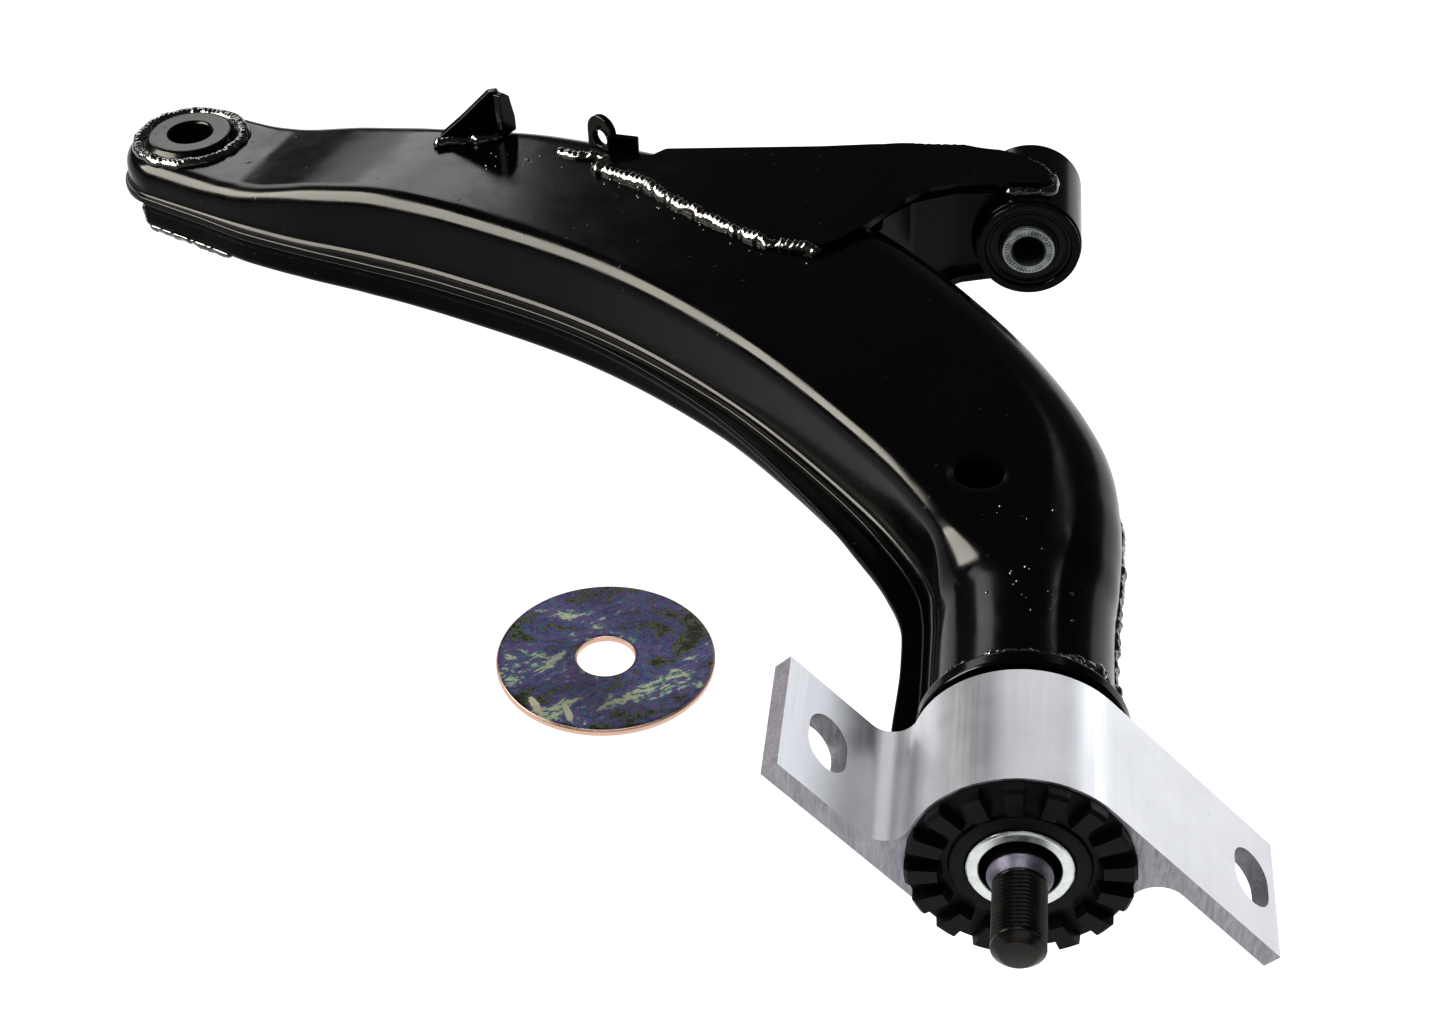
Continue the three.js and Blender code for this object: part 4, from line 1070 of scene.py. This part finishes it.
# A round-topped ear with an eye, and the flange it is folded from.
def innerLugParts():
    angle = np.radians(np.linspace(0, 180, 15))
    crown = np.stack([7 + 6.9 * np.cos(angle), 35.8 + 6.9 * np.sin(angle)], -1)
    ear = np.vstack([[[0.1, 28], [14, 28]], crown])
    flange = [[0, 28], [12.4, 28], [12.4, 35.6], [0, 37]]
    blade = uprightPlate(ear, 3, 145, (-165.5, 353.5), hole=(7, 33, 3.5))
    return blade + uprightPlate(flange, 3, 0, (-169.2, 350))


makePiece("outer_link_lug", outerLugParts(), paint, "arm", ["link_lug_outer"], bevel=0.6)
makePiece("inner_link_lug", innerLugParts(), paint, "arm", ["link_lug_inner"], bevel=0.6)
print("lugs made")


stud = {
    "tip": -35.0, "thread": 8.0, "shoulder": 9.7, "pitch": 1.5, "depth": 0.85, "threadEnd": -9.6,
    "sleeve": 15.75, "sleeveBore": 10.05, "recess": 11.8, "recessEnd": 8.0,
    "discNear": 50.3, "discFar": 56.0, "disc": 33.0,
}


# The stud as one surface of angle and height: the radius follows the profile, less a triangle wave
# that climbs one pitch per turn and fades at both ends of the thread.
def studParts():
    v = stud
    fine = np.arange(v["tip"] + 2.6, v["threadEnd"], v["pitch"] / 10)
    tip, thread, wide = v["tip"], v["thread"], v["shoulder"]
    knotY = np.array([tip, tip, tip + 0.25, tip + 2.4, -9, -6.2, -5.6, -5.2, -3, 95.8, 97, 97])
    knotR = np.array([0, 5.0, 5.6, thread, thread, 9.2, 9.62, wide, wide, wide, wide - 1, 0])
    y = np.concatenate([knotY[:4], fine, knotY[4:]])
    r = np.concatenate([knotR[:4], np.full(len(fine), v["thread"]), knotR[4:]])
    angle = np.linspace(0, 2 * math.pi, 96, endpoint=False)[:, None]
    phase = y[None, :] / v["pitch"] - angle / (2 * math.pi)
    groove = 1 - np.abs(2 * (phase - np.floor(phase)) - 1)
    groove = np.clip(groove * 1.25 - 0.12, 0, 1)
    fade = np.clip((y - v["tip"] - 2.2) / 2.0, 0, 1) * np.clip((v["threadEnd"] - y) / 1.2, 0, 1)
    radius = r[None, :] - v["depth"] * groove * fade[None, :]
    x, z = radius * np.sin(angle), radius * np.cos(angle)
    grid = np.stack([x, y[None, :] + 0 * x, z], -1)
    collar = 4 + len(fine)
    shoulder = grid[:, collar:collar + 4]
    return [gridPart(grid[:, :collar + 1], closeRows=True), (*gridPart(shoulder, closeRows=True), 1),
            gridPart(grid[:, collar + 3:], closeRows=True)]


# Sleeve with a wide recess in its near end.
def rearSleeveParts():
    v = stud
    profile = roundCorners([
        [v["recess"], -2.7], [v["recess"] + 0.5, -3.2], [v["sleeve"] - 0.7, -3.2], [v["sleeve"], -2.6],
        [v["sleeve"], v["discNear"] - 0.3], [v["sleeveBore"], v["discNear"] - 0.3],
        [v["sleeveBore"], v["recessEnd"] + 1], [v["recess"], v["recessEnd"]]], 0.25)
    # the recess and the bore take the second finish, near-black as painted shade
    split = len(profile) - 7 * 3
    face, bore = profile[:split + 1], np.vstack([profile[split:], profile[:1]])
    return [turnedPart(face, segments=120, closed=False), (*turnedPart(bore, segments=120, closed=False), 1)]


# Thick washer fixed on the stud behind the rubber.
def discParts():
    v = stud
    inner = v["shoulder"] + 0.3
    profile = roundCorners([[inner, v["discNear"]], [v["disc"], v["discNear"]], [v["disc"], v["discFar"]],
                            [inner, v["discFar"]]], 1.1)
    return [turnedPart(profile, segments=140)]


makePiece("threaded_stud", studParts(), [steel, collarZinc], "arm", ["rear_stud"], sharp=42)
makePiece("rear_inner_sleeve", rearSleeveParts(), [zinc, boreZincPaintedShade], "arm", ["rear_bush_sleeve"])
makePiece("stud_stopper_disc", discParts(), paint, "arm", ["stopper_disc"])
print("stud made")


bracket = {
    "ring": 34.0, "bore": 30.4, "depth": 45.8, "turn": 45.2,
    "slotWide": 16.0, "slotLong": 20.5, "slotY": 23.6,
    "left": {"outer": -33.8, "inner": -27.2, "tip": -72.8, "fillet": 8.0, "slot": -54.4},
    "right": {"outer": 34.0, "inner": 28.0, "tip": 76.5, "fillet": 9.0, "slot": 65.0},
}


# One ear in [u along, y, n across]. Returns its parts and the ring angles that its root covers.
def earParts(ear, ys):
    v = bracket
    hand = 1 if ear["tip"] > 0 else -1
    centreN = ear["inner"] - hand * ear["fillet"]
    centreU = hand * math.sqrt((v["ring"] + ear["fillet"]) ** 2 - centreN ** 2)
    joint = math.atan2(centreN, centreU)
    tangent = math.atan2(ear["outer"], -math.sqrt(v["ring"] ** 2 - ear["outer"] ** 2))
    # plan points of the outer face from tip to tangent, and of the inner face with its fillet
    flatSteps = 15
    flatU = np.linspace(ear["tip"], centreU, flatSteps)
    bend = np.linspace(hand * math.pi / 2, joint + math.pi, 13)
    fillet = np.stack([centreU + ear["fillet"] * np.cos(bend), centreN + ear["fillet"] * np.sin(bend)], -1)
    rootAngles = np.linspace(joint % (2 * math.pi), tangent % (2 * math.pi), 19)
    junction = v["ring"] * np.stack([np.cos(rootAngles), np.sin(rootAngles)], -1)
    rest = np.vstack([fillet, junction[1:]])
    backU = np.linspace(centreU, junction[-1, 0], len(rest))
    outerLine = np.vstack([np.stack([flatU, np.full(flatSteps, ear["outer"])], -1),
                           np.stack([backU, np.full(len(rest), ear["outer"])], -1)[1:]])
    outerLine[-1] = junction[-1]
    innerLine = np.vstack([np.stack([flatU, np.full(flatSteps, ear["inner"])], -1), rest[1:]])

    def carried(line, y):
        return np.stack([line[:, 0], np.full(len(line), y), line[:, 1]], -1)

    parts = [(*stripPart(carried(outerLine, y), carried(innerLine, y)), 1) for y in (ys[0], ys[-1])]
    tipLine = np.stack([np.full((2, len(ys)), ear["tip"]), np.stack([ys, ys]),
                        np.stack([np.full(len(ys), ear["outer"]), np.full(len(ys), ear["inner"])])], -1)
    parts.append((*gridPart(tipLine), 1))
    parts.append(gridPart(np.stack([carried(outerLine[flatSteps - 1:], y) for y in ys])))
    parts.append(gridPart(np.stack([carried(fillet, y) for y in ys])))
    # each flat is ruled from the slot's outline out to the edge of the flat
    around = np.vstack([
        np.stack([flatU, np.full(flatSteps, ys[0])], -1), np.stack([np.full(len(ys), centreU), ys], -1)[1:],
        np.stack([flatU[::-1], np.full(flatSteps, ys[-1])], -1)[1:],
        np.stack([np.full(len(ys), ear["tip"]), ys[::-1]], -1)[1:-1]])
    ray = around - [ear["slot"], v["slotY"]]
    ray /= np.linalg.norm(ray, axis=1, keepdims=True)
    radius, straight = v["slotWide"] / 2, (v["slotLong"] - v["slotWide"]) / 2
    side = radius / np.maximum(np.abs(ray[:, 0]), 1e-9)
    rise = np.abs(ray[:, 1])
    crown = straight * rise + np.sqrt(np.maximum((straight * rise) ** 2 - straight ** 2 + radius ** 2, 0))
    reach = np.where(side * rise <= straight, side, crown)
    slot = np.array([ear["slot"], v["slotY"]]) + ray * reach[:, None]

    def lay(flat, n):
        return np.stack([flat[:, 0], flat[:, 1], np.full(len(flat), n)], -1)

    for n in (ear["outer"], ear["inner"]):
        steps = [lay(around + (slot - around) * w, n) for w in (0, 0.5, 0.85, 1)]
        parts.append(gridPart(np.stack(steps), closeCols=True))
    # the slot walls take the third finish, the darker cut aluminium painted as their shade
    parts.append((*stripPart(lay(slot, ear["outer"]), lay(slot, ear["inner"]), True), 2))
    return parts, rootAngles


# Both ears and the ring between their roots, turned together about the stud's axis.
def bracketParts():
    v = bracket
    ys = np.linspace(0, v["depth"], 13)
    rightParts, rightLine = earParts(v["right"], ys)
    leftParts, leftLine = earParts(v["left"], ys)
    low = leftLine[-1] - 2 * math.pi
    between = (np.linspace(low, rightLine[0], 70), np.linspace(rightLine[-1], leftLine[0], 70))
    arcs = [between[0], rightLine, between[1], leftLine]
    parts = rightParts + leftParts
    for k, angles in enumerate(arcs):
        around = np.stack([np.cos(angles), np.sin(angles)], -1)

        def ringAt(radius, y):
            return np.stack([around[:, 0] * radius, np.full(len(angles), y), around[:, 1] * radius], -1)

        if k in (0, 2):
            parts.append(gridPart(np.stack([ringAt(v["ring"], y) for y in ys])))
        parts.append(gridPart(np.stack([ringAt(v["bore"], y) for y in ys])))
        parts += [(*stripPart(ringAt(v["ring"], y), ringAt(v["bore"], y)), 1) for y in (ys[0], ys[-1])]
    turn = math.radians(v["turn"])
    done = []
    for points, *rest in parts:
        u, y, n = points[:, 0], points[:, 1], points[:, 2]
        done.append((np.stack([u * math.cos(turn) + n * math.sin(turn), y,
                               n * math.cos(turn) - u * math.sin(turn)], -1), *rest))
    return done


makePiece("eared_bracket", bracketParts(), [alloy, sawnAlloy, slotAlloyPaintedShade], "rear_bracket",
          ["bracket_housing"], place=floorPlace, sharp=32, bevel=0.45)
print("bracket made")


snubber = {
    "teeth": 16, "phase": 0.66, "half": 5.93, "base": -1.0, "crest": -5.0, "inner": 16.1, "outer": 33.2,
}


# Polar height field: a flat collar, a groove, then blocks whose height is the lesser of two ramps,
# one across each block and one along the radius. The rim steps out where a block stands.
def snubberParts():
    v = snubber
    half = v["half"]
    local = np.array([-11.25, -9.6, -8.2, -7.0, -half - 0.55, -half - 0.1, -half + 0.75, -half + 1.2, -3.0,
                      0.0, 3.0, half - 1.2, half - 0.75, half + 0.1, half + 0.55, 7.0, 8.2, 9.6])
    middles = (np.arange(v["teeth"])[:, None] + v["phase"]) * 360 / v["teeth"]
    angle = np.radians(middles + local[None, :]).reshape(-1)
    block = np.interp(np.abs(local), [0, half - 0.75, half + 0.1, 12], [1, 1, 0, 0])
    block = np.tile(block, v["teeth"])[:, None]
    rings = np.array([v["inner"], 16.4, 17.0, 19.4, 20.0, 20.4, 20.9, 21.6, 22.3, 22.6, 23.8, 24.6, 27, 30,
                      31.6, 32.3])
    collar = np.interp(rings, [v["inner"], 16.4, 19.7, 20.4, 20.9, 35], [-2.0, -2.2, -2.2, -1.9, -0.9, -1.0])
    ramp = np.interp(rings, [22.5, 23.8, 31.2], [0, 1, 1])[None, :]
    y = collar[None, :] + (v["crest"] - v["base"]) * np.minimum(block, ramp)
    radius = rings[None, :] + 0 * block
    rimR = [v["outer"] - 0.2 + 0.1 * block, v["outer"] + 0.2 * block, v["outer"] + 0.2 * block]
    rimY = [v["base"] - 3.2 * block, v["base"] + 0.3 - 3.2 * block, -0.3 + 0 * block]
    backR = [0 * block + v["inner"]]
    backY = [0 * block - 0.3]
    radius = np.hstack([radius] + rimR + backR)
    y = np.hstack([y] + rimY + backY)
    points = np.stack([radius * np.sin(angle)[:, None], y, radius * np.cos(angle)[:, None]], -1)
    return [gridPart(points, closeRows=True, closeCols=True)]


# Rubber collar that fills the gap between bracket and disc.
def rearFlangeParts():
    v = stud
    inner = v["sleeve"] + 0.35
    profile = roundCorners([
        [inner, 46.1], [29.8, 46.1], [31.5, 47.3], [31.2, 48.6], [30.2, 50.0], [inner, 50.0]], 0.5)
    return [turnedPart(profile, segments=110)]


makePiece("toothed_snubber_ring", snubberParts(), rubber, "rear_bracket", ["toothed_snubber"],
          place=floorPlace, sharp=26)
makePiece("rear_rubber_flange", rearFlangeParts(), rubber, "rear_bracket", ["rear_flange_rubber"],
          place=floorPlace)


# Stamped washer: rolled top edge, sharper lower edge, and a face that sags a little to its hole.
def washerParts():
    v = washer
    low, high = v["floor"], v["floor"] + v["thick"]
    face = [[r, high - 0.12 * (1 - (r - 11) / 24)] for r in np.linspace(34.8, 11, 16)]
    rim, hole = v["radius"], v["hole"]
    under = [[hole, low + 0.3], [hole + 0.3, low], [rim - 0.4, low], [rim - 0.1, low + 0.15]]
    edge = [[rim, low + 0.5], [rim, high - 0.8], [rim - 0.15, high - 0.35], [rim - 0.5, high - 0.08]]
    eye = [[hole + 0.4, high - 0.15], [hole + 0.1, high - 0.35], [hole, high - 0.7]]
    profile = np.array(under + edge + [[rim - 1.0, high]] + face + eye)
    return [turnedPart(profile, v["centre"], 140, upright=True)]


makePiece("loose_stopper_washer", washerParts(), chromate, "washer", ["stopper_washer"],
          place=floorPlace)

# inner pieces that stay as the frame has them
for name, material in {"stud_carrier": paint, "rear_bush_shell": steel, "rear_bush_rubber": rubber}.items():
    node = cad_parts[name]
    node.data.materials.clear()
    node.data.materials.append(material)
print("rubber and washer made")


studio = {
    "floorSize": 9.0, "floorGlow": 1.05, "world": 0.14,
    "camera": (-31.13, -501.53, 518.03), "lens": 61.54, "elevation": 38.3, "azimuth": -6.25,
}
# name, place and aim in millimetres, width and height in metres, radiance, colour, pieces it reaches
softboxes = [
    ("overhead", (-120, 100, 1500), (-80, 200, 0), 1.0, 0.8, 2.0, (1, 1, 1), "bare"),
    ("left_box", (-960, 60, 560), (-120, 230, 20), 0.9, 0.6, 38.0, (1, 0.95, 0.84), "painted"),
    ("back_left", (-1200, 1700, 800), (-250, 350, 20), 1.3, 0.5, 5.0, (1, 1, 0.98), "painted"),
    ("back_strip", (330, 1150, 760), (-40, 250, 20), 0.5, 0.03, 7.0, (0.92, 0.96, 1), "painted"),
    ("left_fill", (-960, 60, 560), (-120, 0, 20), 0.9, 0.5, 4.0, (1, 0.98, 0.95), "bare"),
    ("back", (100, 1800, 1250), (0, 100, 20), 1.6, 0.6, 1.5, (1, 1, 1), "bare"),
    ("back_right", (1250, 1650, 480), (0, 0, 20), 1.5, 0.6, 2.6, (0.97, 0.98, 1), "bare"),
    ("front_box", (150, -1300, 700), (20, 0, 0), 1.2, 0.4, 1.2, (1, 1, 1)),
]


# Wide level sheet under the object, bright by itself so that it stays pale under any lamp.
def lowFloor():
    half = studio["floorSize"] / 2
    mesh = bpy.data.meshes.new("floor")
    level = cadBox[0].z - 0.0004
    mesh.from_pydata([(-half, -half, level), (half, -half, level), (half, half, level), (-half, half, level)],
                     [], [(0, 1, 2, 3)])
    n = Nodes("pale_floor")
    tone = n.ramp(n.noise(400, 2), [(0.3, (0.1, 0.1, 0.1)), (0.7, (0.12, 0.12, 0.12))])
    mesh.materials.append(n.set(Base_Color=tone, Roughness=0.9, Specular_IOR_Level=0.1,
                                Emission_Color=(1, 1, 1, 1), Emission_Strength=studio["floorGlow"]))
    floor = bpy.data.objects.new("floor", mesh)
    bpy.context.scene.collection.objects.link(floor)


# A rectangular lamp aimed at a point; its power follows from radiance and area.
def addSoftbox(name, place, aim, width, height, radiance, colour, reaches=None):
    light = bpy.data.lights.new(name, "AREA")
    light.shape = "RECTANGLE"
    light.size, light.size_y = width, height
    light.energy = radiance * math.pi * width * height
    light.color = colour
    lamp = bpy.data.objects.new(name, light)
    start, end = (Vector(floorPlace(np.array(p, float))) for p in (place, aim))
    lamp.location = start
    lamp.rotation_euler = (end - start).to_track_quat("-Z", "Y").to_euler()
    bpy.context.scene.collection.objects.link(lamp)
    if reaches:
        lamp.light_linking.receiver_collection = litGroups[reaches]


def addCamera():
    v = studio
    data = bpy.data.cameras.new("camera")
    data.lens = v["lens"]
    data.sensor_width = 36
    data.clip_end = 50
    camera = bpy.data.objects.new("camera", data)
    camera.location = Vector(floorPlace(np.array(v["camera"])))
    camera.rotation_euler = (math.radians(90 - v["elevation"]), 0, math.radians(-v["azimuth"]))
    bpy.context.scene.collection.objects.link(camera)
    bpy.context.scene.camera = camera


lowFloor()
for box in softboxes:
    addSoftbox(*box)
world = bpy.data.worlds.new("studio")
world.use_nodes = True
world.node_tree.nodes["Background"].inputs["Color"].default_value = (1, 1, 1, 1)
world.node_tree.nodes["Background"].inputs["Strength"].default_value = studio["world"]
bpy.context.scene.world = world
bpy.context.scene.view_settings.view_transform = "Standard"
bpy.context.scene.view_settings.look = "Medium High Contrast"
addCamera()
print("studio made")
